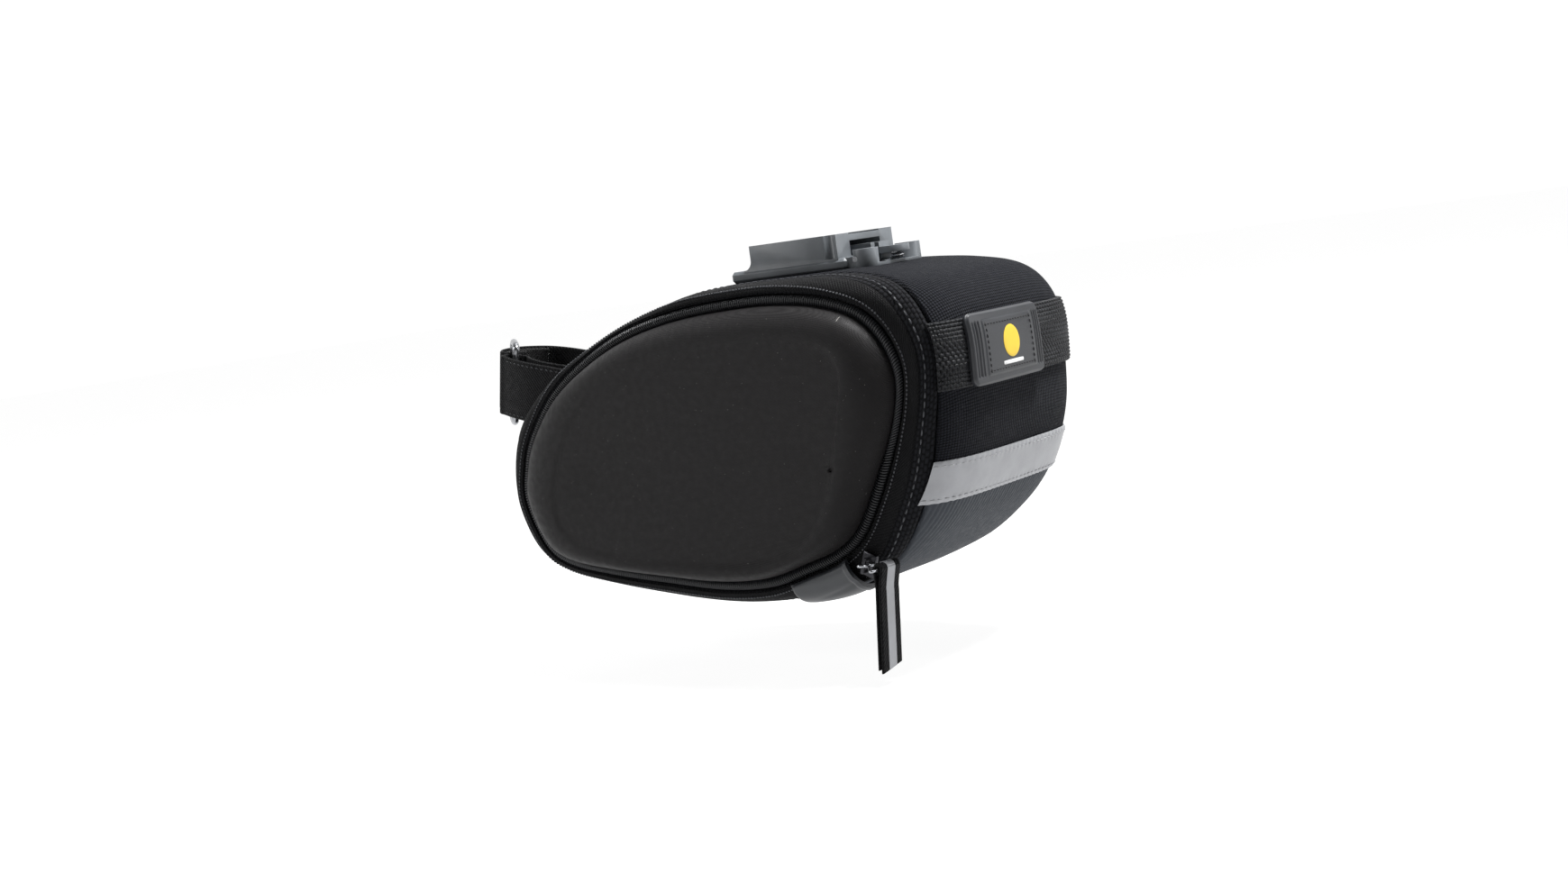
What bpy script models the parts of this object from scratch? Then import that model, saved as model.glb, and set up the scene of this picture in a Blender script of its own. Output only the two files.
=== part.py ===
"""Saddle bag: a wedge-shaped bike bag with a zipped side door, a slide-in mount and a strap.

The bag hangs under a bicycle saddle. Metres, +Z up, +X towards the seat post, +Y to the
bike's left, where the door is. The origin is the middle of the mount's top deck.
"""
import math
from functools import lru_cache

import bmesh
import bpy
import numpy as np
from mathutils import Matrix, Vector

# ---------------------------------------------------------------- driving sizes (metres)
GAP = 0.0003                # clearance between pieces that touch

# Slide-in mount on the bag's top
MOUNT_HEIGHT = 0.013        # deck to the underside of the base
RAIL_RISE = 0.0006          # rails stand this far above the deck
RAIL_FRONT = 0.0205
RAIL_REAR = -0.0193
MOUNT_WIDTH = 0.0397        # over both rails
RAIL_WIDTH = 0.0092
BASE_FRONT = 0.0305
BASE_REAR = -0.0230
BASE_WIDTH = 0.0410
BASE_THICKNESS = 0.0045
SLOT_TOP = -0.0024          # mouth under the deck, for the saddle clamp's catch
SLOT_BOTTOM = -0.0082
SLOT_DEPTH = 0.0260
SHELF_THICKNESS = 0.0012
EAR_RADIUS = 0.0048
EAR_X = -0.0285
EAR_Y = 0.0150
EAR_TOP = -0.0060
EAR_WEB = 0.0084            # width of the web that joins each ear to the base
CORNER_CHAMFER = 0.0012
TOE_RADIUS = 0.0036         # hollow curve from the rails' front down to the base
SCALLOP_RADIUS = 0.0026
SCALLOP_X = -0.0162
SCALLOP_OUT = 0.0010        # its axis stands this far outside the rail
LEVER_ROOM = 0.0006         # beside the lever in the mount
TONGUE_ROOM = 0.0008
OVERLAP = 0.0010            # how far one solid runs into the next that it is joined to or cuts

# Release lever
PIN_RADIUS = 0.0011
HUB_WALL = 0.0009
PIN_X = -0.0262
PIN_Z = -0.0095
PADDLE_RADIUS = 0.0066
PADDLE_THICKNESS = 0.0024
PADDLE_TOP = -0.0063
PADDLE_X = -0.0308
LEVER_WIDTH = 0.0070
TONGUE_WIDTH = 0.0140
TONGUE_REACH = 0.0160       # length of the tongue in front of the pin
TONGUE_TOP = -0.0043
TONGUE_THICKNESS = 0.0032
NOTCH = 0.0030
NECK_REAR = 0.0012          # neck behind the pin
BORE_ROOM = 0.00015
SKIM = 0.0001               # keeps joined faces from lying in one plane
SPRING_RADIUS = 0.0022
SPRING_WIRE = 0.00028
SPRING_TURNS = 2.5
SPRING_X = -0.0330

# Fasteners through the bag's top
SCREW_X = 0.0125            # half spacing along the bag
SCREW_Y = 0.0125            # half spacing across the bag
SCREW_MIDDLE = 0.0030
SCREW_RADIUS = 0.0015
SCREW_HEAD_RADIUS = 0.0030
SCREW_HEAD = 0.0016
SCREW_BITE = 0.0030         # depth of thread in the mount's base
PLATE_LENGTH = 0.0560
PLATE_WIDTH = 0.0380
PLATE_THICKNESS = 0.0016
PLATE_DROP = 0.0012         # under the lining

# Bag body
BAG_REAR = -0.0785
BAG_LENGTH = 0.2315
BAG_HEIGHT = 0.1214
HALF_WIDTH = 0.0500         # middle plane to the zip's plane, at TAPER_X
TAPER_X = -0.0600
TAPER = math.radians(6.5)   # how much each side leans in towards the nose
CORNER_POWER = 4.0          # squareness of the cross-section
WALL = 0.0020               # fabric with its foam lining
BAND = 0.0165               # sewn band beside each side panel
NOSE_SEAM = math.radians(-14.0)
SEAM_RADIUS = 0.0800        # spine to the rear seam, which turns its gap into an angle
AROUND = 60                 # facets around the bag
ACROSS = 10                 # facets across the panels

# Moulded side panels
SHELL_WALL = 0.0025
SHELL_BULGE = 0.0105
SHELL_INSET = 0.0039        # zip line to the edge of the moulded panel
TAPE_THICKNESS = 0.0020
TAPE_LIFT = 0.0002
OUTER_TAPE_THICKNESS = 0.0007
TAPE_REACH = (0.0011, 0.0045, 0.0085)  # rows of the outer tape, from the zip's line
COIL_RADIUS = 0.0006
HINGE_FRONT_ANGLE = math.radians(281.0)
HINGE_REAR_ANGLE = math.radians(257.0)
HINGE_THICKNESS = 0.0008
HINGE_LAP = 0.0040          # fabric hinge over the door
HINGE_TUCK = 0.0010         # and under the band
HINGE_SLACK = math.radians(1.0)
POCKET_INSET = 0.0090
POCKET_TOP = 0.50           # share of the height where the mesh pocket starts
POCKET_THICKNESS = 0.0010
POCKET_DEPTH = 0.0008       # behind the side's plane

# Rear trim, measured down from the bag's top
TRIM_LIFT = 0.0006          # trim that bends round the rear
LOOP_TOP = 0.0215
LOOP_WIDTH = 0.0240
LOOP_THICKNESS = 0.0014
BADGE_LENGTH = 0.0480
BADGE_HEIGHT = 0.0250
BADGE_THICKNESS = 0.0022
BADGE_CENTRE = 0.0125       # towards the left of the bag's middle, along the webbing
STRIP_TOP = 0.0700
STRIP_WIDTH = 0.0150
STRIP_THICKNESS = 0.0008

# Zip slider, puller and tab
SLIDER_PLACE = (0.19006, 0.86656)   # shares of the bag's length and height
SLIDER_RUN = (0.09719, 0.44646)     # where the straight run ends
SLIDER_LENGTH = 0.0090
SLIDER_WIDTH = 0.0062
SLIDER_HEIGHT = 0.0022
SLIDER_LIFT = 0.0012
SLIDER_CHAMFER = 0.0007
ARCH_LENGTH = 0.0060
ARCH_WIRE = 0.0009
ARCH_ROOM = 0.0018
PULLER_WIRE = 0.0006
PULLER_LENGTH = 0.0130      # from the slider's arch to the bar that carries the tab
PULLER_HALF_WIDTH = 0.0077
PULLER_RISE = 0.0030        # middle of that bar, outwards from the arch
PULLER_NEAR = -0.0015       # the loop's closed end, behind the arch
PULLER_SPREAD = 0.0034      # where its legs start to spread
PULLER_CORNER = 0.0010
TAB_SIDE_ROOM = 0.0022      # between the tab and the ends of that bar
TAB_LENGTH = 0.0350
TAB_THICKNESS = 0.0012
TAB_SLANT = 0.15            # how far the tab's tail runs sideways for each metre down
TAB_LAP = 0.0120            # length of the lap behind
TAB_JOIN = 0.0060           # below the bar, where both layers meet
TAB_ROOM = 0.0005           # round the bar

# Rubber garage over the zip's end
GARAGE_FRONT_ANGLE = math.radians(256.0)
GARAGE_REAR_ANGLE = math.radians(237.0)
GARAGE_WIDTH = 0.0150
GARAGE_RISE = 0.0030
GARAGE_THICKNESS = 0.0012
GARAGE_EDGE = 0.0012        # its outer edge, from the zip's line

# Seat post strap; its own frame is pitched up towards the front
STRAP_WIDTH = 0.0250
STRAP_THICKNESS = 0.0014
STRAP_PITCH = math.radians(12.0)
STRAP_PLACE = (0.98704, 0.26112)    # its middle, as shares of the bag's length and height
STRAP_ROOT_GAP = 0.0033     # the strap's root to the nose's cloth, square to it
ANCHOR_HALF_WIDTH = 0.0230
ANCHOR_THICKNESS = 0.0016
ANCHOR_TOP = 0.82721        # the patch's ends, as shares of the bag's length
ANCHOR_BOTTOM = 0.98272
PILE_THICKNESS = 0.0010
HOOK_THICKNESS = 0.0010
TAPE_MARGIN = 0.0020        # webbing left bare beside the hook and loop faces
RING_WIRE = 0.0015
RING_HEIGHT = 0.0330
RING_CORNER = 0.0022
RING_NIP = 0.0006
STEEP = math.radians(85.0)  # steepest angle of the sloping nose
TURN_STEP = math.radians(2.0)


# ---------------------------------------------------------------- scene helpers
def clear_scene():
    for obj in list(bpy.data.objects):
        bpy.data.objects.remove(obj)


def collection(name):
    group = bpy.data.collections.new(name)
    bpy.context.scene.collection.children.link(group)
    return group


def material(name, color, roughness, metallic=0.0):
    mat = bpy.data.materials.new(name)
    mat.use_nodes = True
    shader = mat.node_tree.nodes["Principled BSDF"]
    shader.inputs["Base Color"].default_value = (*color, 1.0)
    shader.inputs["Roughness"].default_value = roughness
    shader.inputs["Metallic"].default_value = metallic
    return mat


clear_scene()
BAG = collection("saddle_bag")
CUTTERS = collection("cutters")
CORDURA = material("cordura", (0.018, 0.020, 0.026), 0.85)
RIBBED = material("ribbed_fabric", (0.045, 0.052, 0.062), 0.60)
EVA = material("moulded_eva", (0.028, 0.027, 0.028), 0.75)
WEBBING = material("webbing", (0.014, 0.015, 0.018), 0.80)
TAPE = material("zip_tape", (0.016, 0.017, 0.020), 0.80)
COIL = material("zip_coil", (0.020, 0.020, 0.022), 0.45)
REFLECTIVE = material("reflective", (0.42, 0.43, 0.45), 0.45)
RUBBER = material("rubber", (0.060, 0.062, 0.068), 0.60)
PLASTIC = material("mount_plastic", (0.075, 0.080, 0.088), 0.50)
STEEL = material("bright_steel", (0.62, 0.63, 0.65), 0.28, 1.0)
MESH = material("pocket_mesh", (0.030, 0.030, 0.032), 0.85)
PILE = material("hook_and_loop", (0.012, 0.012, 0.013), 0.95)


def add_object(name, mesh, mat, group=None):
    obj = bpy.data.objects.new(name, mesh)
    obj.data.materials.append(mat)
    (group or BAG).objects.link(obj)
    return obj


def finish_bmesh(name, bm, mat, group=None):
    bmesh.ops.remove_doubles(bm, verts=bm.verts, dist=0.00001)
    bmesh.ops.recalc_face_normals(bm, faces=bm.faces)
    mesh = bpy.data.meshes.new(name)
    bm.to_mesh(mesh)
    bm.free()
    return add_object(name, mesh, mat, group)


def cutter(obj):
    obj.hide_render = True
    obj.display_type = "WIRE"
    return obj


def cut(target, tool, operation="DIFFERENCE"):
    mod = target.modifiers.new(tool.name, "BOOLEAN")
    mod.operation = operation
    mod.solver = "EXACT"
    mod.object = cutter(tool)


def box(name, low, high, mat=None):
    """A block between two corners; without a material it is a cutter."""
    bm = bmesh.new()
    size = [b - a for a, b in zip(low, high)]
    middle = [(a + b) / 2 for a, b in zip(low, high)]
    bmesh.ops.create_cube(bm, size=1.0)
    bmesh.ops.scale(bm, vec=size, verts=bm.verts)
    bmesh.ops.translate(bm, vec=middle, verts=bm.verts)
    return finish_bmesh(name, bm, mat or PLASTIC, BAG if mat else CUTTERS)


def cylinder(name, radius, start, end, mat=None, sides=20):
    """A round bar from start to end; without a material it is a cutter."""
    start, end = Vector(start), Vector(end)
    bm = bmesh.new()
    bmesh.ops.create_cone(bm, cap_ends=True, segments=sides, radius1=radius, radius2=radius,
                          depth=(end - start).length)
    turn = Vector((0, 0, 1)).rotation_difference(end - start).to_matrix().to_4x4()
    bmesh.ops.transform(bm, matrix=Matrix.Translation((start + end) / 2) @ turn, verts=bm.verts)
    return finish_bmesh(name, bm, mat or PLASTIC, BAG if mat else CUTTERS)


def wire(name, points, radius, mat, closed=False, resolution=2):
    """A round wire or cord through the points."""
    curve = bpy.data.curves.new(name, "CURVE")
    curve.dimensions = "3D"
    curve.bevel_depth = radius
    curve.bevel_resolution = resolution
    curve.use_fill_caps = True
    spline = curve.splines.new("POLY")
    spline.points.add(len(points) - 1)
    for point, place in zip(spline.points, points):
        point.co = (*place, 1.0)
    spline.use_cyclic_u = closed
    obj = bpy.data.objects.new(name, curve)
    curve.materials.append(mat)
    BAG.objects.link(obj)
    return obj


def smooth_line(points, per_span, closed=False):
    """Points on the smooth curve through the given points (Catmull-Rom)."""
    pts = np.array(points, dtype=float)
    count = len(pts)
    if closed:
        pts = np.vstack([pts[-1], pts, pts[0], pts[1]])
    else:
        pts = np.vstack([2 * pts[0] - pts[1], pts, 2 * pts[-1] - pts[-2]])
    spans = count if closed else count - 1
    out = []
    for i in range(spans):
        a, b, c, d = pts[i:i + 4]
        for t in np.arange(per_span) / per_span:
            out.append(0.5 * (2 * b + (c - a) * t + (2 * a - 5 * b + 4 * c - d) * t ** 2
                              + (3 * b - a - 3 * c + d) * t ** 3))
    if not closed:
        out.append(pts[-2])
    return np.array(out)


# ---------------------------------------------------------------- the bag's form
# Side view outlines, as shares of the bag's length (from the rear) and height (from the top),
# from the nose over the top to the rear and back along the bottom.
MIDDLE_OUTLINE = [
    (0.996, 0.687), (1.000, 0.563), (0.981, 0.432), (0.940, 0.333), (0.866, 0.234),
    (0.788, 0.171), (0.693, 0.102), (0.598, 0.049), (0.512, 0.012), (0.425, 0.000),
    (0.320, 0.000), (0.210, 0.000), (0.132, 0.014), (0.058, 0.047), (0.019, 0.110),
    (0.002, 0.200), (0.000, 0.333), (0.003, 0.481), (0.022, 0.605), (0.054, 0.720),
    (0.102, 0.815), (0.175, 0.905), (0.274, 0.967), (0.425, 0.998), (0.577, 0.988),
    (0.771, 0.937), (0.892, 0.885), (0.961, 0.811)]
ZIP_OUTLINE = [
    (0.967, 0.646), (0.957, 0.526), (0.929, 0.419), (0.862, 0.283), (0.771, 0.180),
    (0.663, 0.100), (0.533, 0.053), (0.387, 0.038), (0.296, 0.044), (0.218, 0.065),
    (0.149, 0.110), (0.106, 0.185), (0.083, 0.292), (0.091, 0.407), (0.119, 0.539),
    (0.162, 0.687), (0.201, 0.790), (0.248, 0.852), (0.317, 0.897), (0.404, 0.942),
    (0.512, 0.951), (0.641, 0.929), (0.771, 0.901), (0.875, 0.864), (0.931, 0.798)]
SPINE_MIDDLE = (0.47, 0.56)     # the line that the cross-sections fan out from
SPINE_HALF = 0.25

BAG_TOP = -(MOUNT_HEIGHT + GAP)
SECTION_STEPS = 40
REAR_LOW_ANGLE = math.radians(238.0)
REAR_HIGH_ANGLE = math.radians(118.0)


def side_view(share):
    return (BAG_REAR + share[0] * BAG_LENGTH, BAG_TOP - share[1] * BAG_HEIGHT)


def outline(shares):
    return smooth_line([side_view(share) for share in shares], 10, closed=True)


MIDDLE_LINE = outline(MIDDLE_OUTLINE)
ZIP_LINE = outline(ZIP_OUTLINE)


def side_y(x):
    """Half width of the bag at the zip's plane."""
    return HALF_WIDTH - (x - TAPER_X) * math.tan(TAPER)


def spine(angle):
    middle = np.array(side_view(SPINE_MIDDLE))
    return middle + np.array([SPINE_HALF * BAG_LENGTH * math.cos(angle), 0.0])


def cross_outline(line, angle):
    """Where the ray at this angle from the spine meets the outline."""
    origin = spine(angle)
    ray = np.array([math.cos(angle), math.sin(angle)])
    start = line - origin
    step = np.roll(line, -1, axis=0) - line
    det = ray[0] * -step[:, 1] + step[:, 0] * ray[1]
    reach = (start[:, 0] * -step[:, 1] + step[:, 0] * start[:, 1]) / det
    share = (ray[0] * start[:, 1] - ray[1] * start[:, 0]) / det
    hits = (share >= 0) & (share < 1) & (reach > 0)
    return origin + ray * reach[hits].max()


@lru_cache(maxsize=None)
def section(angle):
    """Half cross-section from the zip's line to the middle, with lengths along it."""
    middle, edge = cross_outline(MIDDLE_LINE, angle), cross_outline(ZIP_LINE, angle)
    turns = np.linspace(math.pi / 2, 0.0, SECTION_STEPS)
    across = np.sin(turns) ** (2 / CORNER_POWER)
    inset = 1 - np.cos(turns) ** (2 / CORNER_POWER)
    flat = middle + np.outer(inset, edge - middle)
    points = np.column_stack([flat[:, 0], across * side_y(edge[0]), flat[:, 1]])
    steps = np.linalg.norm(np.diff(points, axis=0), axis=1)
    return points, np.concatenate([[0.0], np.cumsum(steps)])


def half_length(angle):
    return section(angle)[1][-1]


def skin_point(angle, reach, side=1):
    """Point on the wrap, reach metres from the zip's line towards the middle."""
    points, lengths = section(angle)
    if reach > lengths[-1]:
        return skin_point(angle, 2 * lengths[-1] - reach, -side)
    place = [np.interp(reach, lengths, points[:, i]) for i in range(3)]
    return Vector((place[0], side * place[1], place[2]))


def skin_normal(angle, reach, side=1):
    if reach < 0.0012:
        return Vector((math.sin(TAPER), side * math.cos(TAPER), 0.0))
    turn, slip = TURN_STEP, 0.0006
    low = max(reach - slip, 0.0)
    along = skin_point(angle + turn, reach, side) - skin_point(angle - turn, reach, side)
    across = skin_point(angle, reach + slip, side) - skin_point(angle, low, side)
    normal = along.cross(across).normalized()
    outward = skin_point(angle, reach, side) - Vector((spine(angle)[0], 0, spine(angle)[1]))
    return normal if normal.dot(outward) > 0 else -normal


def on_skin(angle, reach, side=1, lift=0.0):
    return skin_point(angle, reach, side) + skin_normal(angle, reach, side) * lift


def rear_angle(reach, side, depth):
    """Angle at which the rear of the wrap is this far below the bag's top."""
    high, low = REAR_HIGH_ANGLE, REAR_LOW_ANGLE
    for _ in range(30):
        angle = (high + low) / 2
        if skin_point(angle, reach, side).z > BAG_TOP - depth:
            high = angle
        else:
            low = angle
    return angle


def shell_mesh(name, outer, inner, mat, closed=False):
    """A closed wall between two matching grids of points."""
    bm = bmesh.new()
    rows, columns = len(outer), len(outer[0])
    grids = [[[bm.verts.new(point) for point in row] for row in grid] for grid in (outer, inner)]
    row_pairs = [(i, (i + 1) % rows) for i in range(rows if closed else rows - 1)]
    for grid in grids:
        for i, k in row_pairs:
            for j in range(columns - 1):
                bm.faces.new([grid[i][j], grid[i][j + 1], grid[k][j + 1], grid[k][j]])
    top, under = grids
    for i, k in row_pairs:
        for j in (0, columns - 1):
            bm.faces.new([top[i][j], under[i][j], under[k][j], top[k][j]])
    if not closed:
        for i in (0, rows - 1):
            for j in range(columns - 1):
                bm.faces.new([top[i][j], top[i][j + 1], under[i][j + 1], under[i][j]])
    return finish_bmesh(name, bm, mat)


def angles(start, end, step_count):
    return [start + (end - start) * i / step_count for i in range(step_count + 1)]


def ring_angles():
    return [2 * math.pi * i / AROUND for i in range(AROUND)]


# ---------------------------------------------------------------- fabric panels of the wrap
def wrap_panel(name, start, end, mat):
    """Panel over the bag's full width between two angles, edge to edge with the bands."""
    step = 2 * math.pi / AROUND
    inner_rows = range(math.ceil(start / step + 0.3), math.floor(end / step - 0.3) + 1)
    outer, inner = [], []
    for angle in [start] + [i * step for i in inner_rows] + [end]:
        reach = [BAND + GAP + (half_length(angle) - BAND - GAP) * k / (ACROSS / 2)
                 for k in range(ACROSS // 2 + 1)]
        places = [(r, 1) for r in reach] + [(r, -1) for r in reversed(reach[:-1])]
        outer.append([on_skin(angle, r, s) for r, s in places])
        inner.append([on_skin(angle, r, s, -WALL) for r, s in places])
    return shell_mesh(name, outer, inner, mat)


def band(name, side):
    """Sewn band from the zip's line to the wrap's seam, all the way round."""
    outer, inner = [], []
    for angle in ring_angles():
        reach = (GAP, *TAPE_REACH, BAND)
        outer.append([on_skin(angle, r, side) for r in reach])
        inner.append([on_skin(angle, r, side, -WALL) for r in reach])
    return shell_mesh(name, outer, inner, CORDURA, closed=True)


def rear_patch(name, top, bottom, half_width, lift, thickness, mat, columns=14, centre=0.0):
    """Flat trim across the rear between two depths; half_width None runs seam to seam."""
    rows = 4
    outer, inner = [], []
    for i in range(rows):
        depth = top + (bottom - top) * i / (rows - 1)
        low_row, high_row = [], []
        for j in range(columns + 1):
            share = 2 * j / columns - 1
            guess = rear_angle(half_length(math.pi), 1, depth)
            across = centre + share * (half_width or half_length(guess) - BAND - GAP)
            side = 1 if across >= 0 else -1
            reach = half_length(guess) - abs(across)
            angle = rear_angle(reach, side, depth)
            low_row.append(on_skin(angle, reach, side, lift))
            high_row.append(on_skin(angle, reach, side, lift + thickness))
        inner.append(low_row)
        outer.append(high_row)
    return shell_mesh(name, outer, inner, mat)


def build_wrap():
    seam = rear_angle(half_length(math.pi), 1, STRIP_TOP + STRIP_WIDTH / 2)
    slack = GAP / SEAM_RADIUS
    top = wrap_panel("rear_top_panel", NOSE_SEAM, seam - slack / 2, CORDURA)
    wrap_panel("base_panel", seam + slack / 2, NOSE_SEAM + 2 * math.pi - slack, RIBBED)
    band("left_band", 1)
    band("right_band", -1)
    loop_bottom = LOOP_TOP + LOOP_WIDTH
    rear_patch("light_loop", LOOP_TOP, loop_bottom, None, TRIM_LIFT, LOOP_THICKNESS, WEBBING)
    badge_top = LOOP_TOP + (LOOP_WIDTH - BADGE_HEIGHT) / 2
    rear_patch("rear_badge", badge_top, badge_top + BADGE_HEIGHT, BADGE_LENGTH / 2,
               TRIM_LIFT + LOOP_THICKNESS + GAP, BADGE_THICKNESS, RUBBER, 10, BADGE_CENTRE)
    rear_patch("reflective_strip", STRIP_TOP, STRIP_TOP + STRIP_WIDTH, None, TRIM_LIFT,
               STRIP_THICKNESS, REFLECTIVE)
    return top


# ---------------------------------------------------------------- moulded sides and zip
def side_point(place, out, side):
    """Point in a side's leaning plane, lifted out of it."""
    return Vector((place[0], side * (side_y(place[0]) + out), place[1]))


def inset_outline(angle, inset):
    edge = cross_outline(ZIP_LINE, angle)
    inward = spine(angle) - edge
    return edge + inward * (inset / np.linalg.norm(inward))


SHELL_PROFILE = [       # share of the way to the spine, share of the bulge
    (0.00, 0.00), (0.015, 0.55), (0.06, 0.84), (0.14, 1.00), (0.25, 0.98), (0.35, 0.85),
    (1.00, 0.86)]


def side_shell(name, side):
    """Moulded panel: a rolled rim round a slightly sunk field."""
    bm = bmesh.new()
    rings = []
    for share, rise in SHELL_PROFILE:
        ring = []
        for angle in ring_angles():
            edge = inset_outline(angle, SHELL_INSET)
            place = edge + (spine(angle) - edge) * share
            ring.append(bm.verts.new(side_point(place, SHELL_BULGE * rise, side)))
        rings.append(ring)
    for near, far in zip(rings, rings[1:]):
        for i in range(AROUND):
            k = (i + 1) % AROUND
            bm.faces.new([near[i], near[k], far[k], far[i]])
    bmesh.ops.remove_doubles(bm, verts=bm.verts, dist=0.00001)
    bmesh.ops.dissolve_degenerate(bm, edges=bm.edges, dist=0.00001)
    bmesh.ops.recalc_face_normals(bm, faces=bm.faces)
    if sum(face.normal.y for face in bm.faces) * side < 0:
        bmesh.ops.reverse_faces(bm, faces=bm.faces)
    mesh = bpy.data.meshes.new(name)
    bm.to_mesh(mesh)
    bm.free()
    shell = add_object(name, mesh, EVA)
    wall = shell.modifiers.new("wall", "SOLIDIFY")
    wall.thickness = SHELL_WALL
    wall.offset = -1
    return shell


def tape_ring(name, side, mat):
    """Sewn tape between the moulded panel's edge and the zip's line."""
    outer, inner = [], []
    for angle in ring_angles():
        row = [inset_outline(angle, inset) for inset in (GAP, SHELL_INSET - GAP)]
        outer.append([side_point(place, TAPE_LIFT, side) for place in row])
        inner.append([side_point(place, TAPE_LIFT - TAPE_THICKNESS, side) for place in row])
    return shell_mesh(name, outer, inner, mat, closed=True)


def coil(name, inset):
    """One half of the zip's coil, from the hinge's front end round to its rear end."""
    turns = angles(HINGE_FRONT_ANGLE - 2 * math.pi, HINGE_REAR_ANGLE, 54)
    depth = WALL + GAP + COIL_RADIUS
    points = [side_point(inset_outline(angle, inset), -depth, 1) for angle in turns]
    return wire(name, points, COIL_RADIUS, COIL, resolution=1)


def door_hinge():
    """Strip of fabric inside the bag that joins the door to the band."""
    outer, inner = [], []
    depth = WALL + 2 * GAP
    for angle in angles(HINGE_REAR_ANGLE + HINGE_SLACK, HINGE_FRONT_ANGLE - HINGE_SLACK, 6):
        row = [inset_outline(angle, inset) for inset in (HINGE_LAP, HINGE_LAP / 2, -HINGE_TUCK)]
        outer.append([side_point(place, -depth, 1) for place in row])
        inner.append([side_point(place, -depth - HINGE_THICKNESS, 1) for place in row])
    return shell_mesh("door_hinge", outer, inner, TAPE)


def mesh_pocket():
    """Flat mesh pocket across the lower half of the door's inside."""
    top = BAG_TOP - POCKET_TOP * BAG_HEIGHT
    places = []
    for angle in ring_angles():
        place = inset_outline(angle, SHELL_INSET + POCKET_INSET)
        if place[1] < top:
            places.append(place)
    front = [p for p in places if p[0] > spine(math.pi / 2)[0]]
    rear = [p for p in places if p[0] <= spine(math.pi / 2)[0]]
    rear_side = sorted(rear, key=lambda p: -p[1])
    front_side = sorted(front, key=lambda p: p[1])
    bm = bmesh.new()
    faces = []
    for out in (-POCKET_DEPTH, -POCKET_DEPTH - POCKET_THICKNESS):
        ring = [bm.verts.new(side_point(p, out, 1)) for p in rear_side + front_side]
        faces.append(ring)
    outside, inside = faces
    bm.faces.new(outside)
    bm.faces.new(inside[::-1])
    for i in range(len(outside)):
        k = (i + 1) % len(outside)
        bm.faces.new([outside[i], inside[i], inside[k], outside[k]])
    return finish_bmesh("mesh_pocket", bm, MESH)


def skin_tape():
    """Outer zip tape, sewn flat over the left band."""
    outer, inner = [], []
    for angle in ring_angles():
        reach = TAPE_REACH
        inner.append([on_skin(angle, r, 1, GAP) for r in reach])
        outer.append([on_skin(angle, r, 1, GAP + OUTER_TAPE_THICKNESS) for r in reach])
    return shell_mesh("outer_zip_tape", outer, inner, TAPE, closed=True)


def build_sides():
    side_shell("door_shell", 1)
    side_shell("right_shell", -1)
    tape_ring("door_zip_tape", 1, TAPE)
    tape_ring("right_piping", -1, TAPE)
    skin_tape()
    coil("door_coil", 4 * COIL_RADIUS + GAP)
    coil("bag_coil", COIL_RADIUS)
    door_hinge()
    mesh_pocket()


# ---------------------------------------------------------------- slider, puller, tab, garage
def slider_frame():
    """Slider's middle, its run and the outward direction of the side's plane."""
    start = side_point(side_view(SLIDER_PLACE), 0.0, 1)
    end = side_point(side_view(SLIDER_RUN), 0.0, 1)
    run = (end - start).normalized()
    outward = Vector((math.sin(TAPER), math.cos(TAPER), 0.0))
    return start, run, outward


def slider_box(name, low, high, group=None):
    """A block in the slider's frame: across it, along its run, outwards."""
    start, run, outward = slider_frame()
    frame = Matrix((outward.cross(run), run, outward)).transposed().to_4x4()
    frame.translation = start
    block = box(name, low, high, STEEL)
    block.data.transform(frame)
    if group:
        BAG.objects.unlink(block)
        group.objects.link(block)
    return block


def zip_slider():
    half, length = SLIDER_WIDTH / 2, SLIDER_LENGTH / 2
    top = SLIDER_LIFT + SLIDER_HEIGHT
    body = slider_box("zip_slider", (-half, -length, SLIDER_LIFT), (half, length, top))
    bevel = body.modifiers.new("edges", "BEVEL")
    bevel.width = SLIDER_CHAMFER
    bevel.segments = 2
    foot, wire_half = ARCH_LENGTH / 2, ARCH_WIRE / 2
    crown = top + ARCH_ROOM + ARCH_WIRE
    for i, end in enumerate((-1, 1)):
        low, high = sorted((end * foot, end * (foot - ARCH_WIRE)))
        post = slider_box(f"arch_post_{i}", (-wire_half, low, top - SLIDER_CHAMFER),
                          (wire_half, high, crown - SKIM), CUTTERS)
        cut(body, post, "UNION")
    bar = slider_box("arch_bar", (-wire_half - SKIM / 2, -foot - SKIM, top + ARCH_ROOM),
                     (wire_half + SKIM / 2, foot + SKIM, crown), CUTTERS)
    cut(body, bar, "UNION")
    return body


def puller_frame():
    """Middle of the slider's arch, the way the puller lies, and outwards."""
    start, _, outward = slider_frame()
    arch = start + outward * (SLIDER_LIFT + SLIDER_HEIGHT + ARCH_ROOM + ARCH_WIRE / 2)
    away = Vector((-outward.y, outward.x, 0.0))
    return arch, away, outward


def zip_puller():
    """Wire loop, threaded through the arch, that widens to a bar for the tab."""
    arch, away, outward = puller_frame()
    leg = ARCH_WIRE / 2 + PULLER_WIRE + GAP
    near, far, base, corner = PULLER_NEAR, PULLER_SPREAD, PULLER_LENGTH, PULLER_CORNER
    low, high = PULLER_RISE - PULLER_HALF_WIDTH, PULLER_RISE + PULLER_HALF_WIDTH
    bend = near + PULLER_CORNER / 2
    shape = [(near, -leg / 2), (bend, -leg), (far, -leg), (base - corner, low),
             (base, low + corner), (base, high - corner), (base - corner, high), (far, leg),
             (bend, leg), (near, leg / 2)]
    points = [arch + away * a + outward * b for a, b in shape]
    return wire("zip_puller", points, PULLER_WIRE, STEEL, closed=True, resolution=2)


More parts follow.
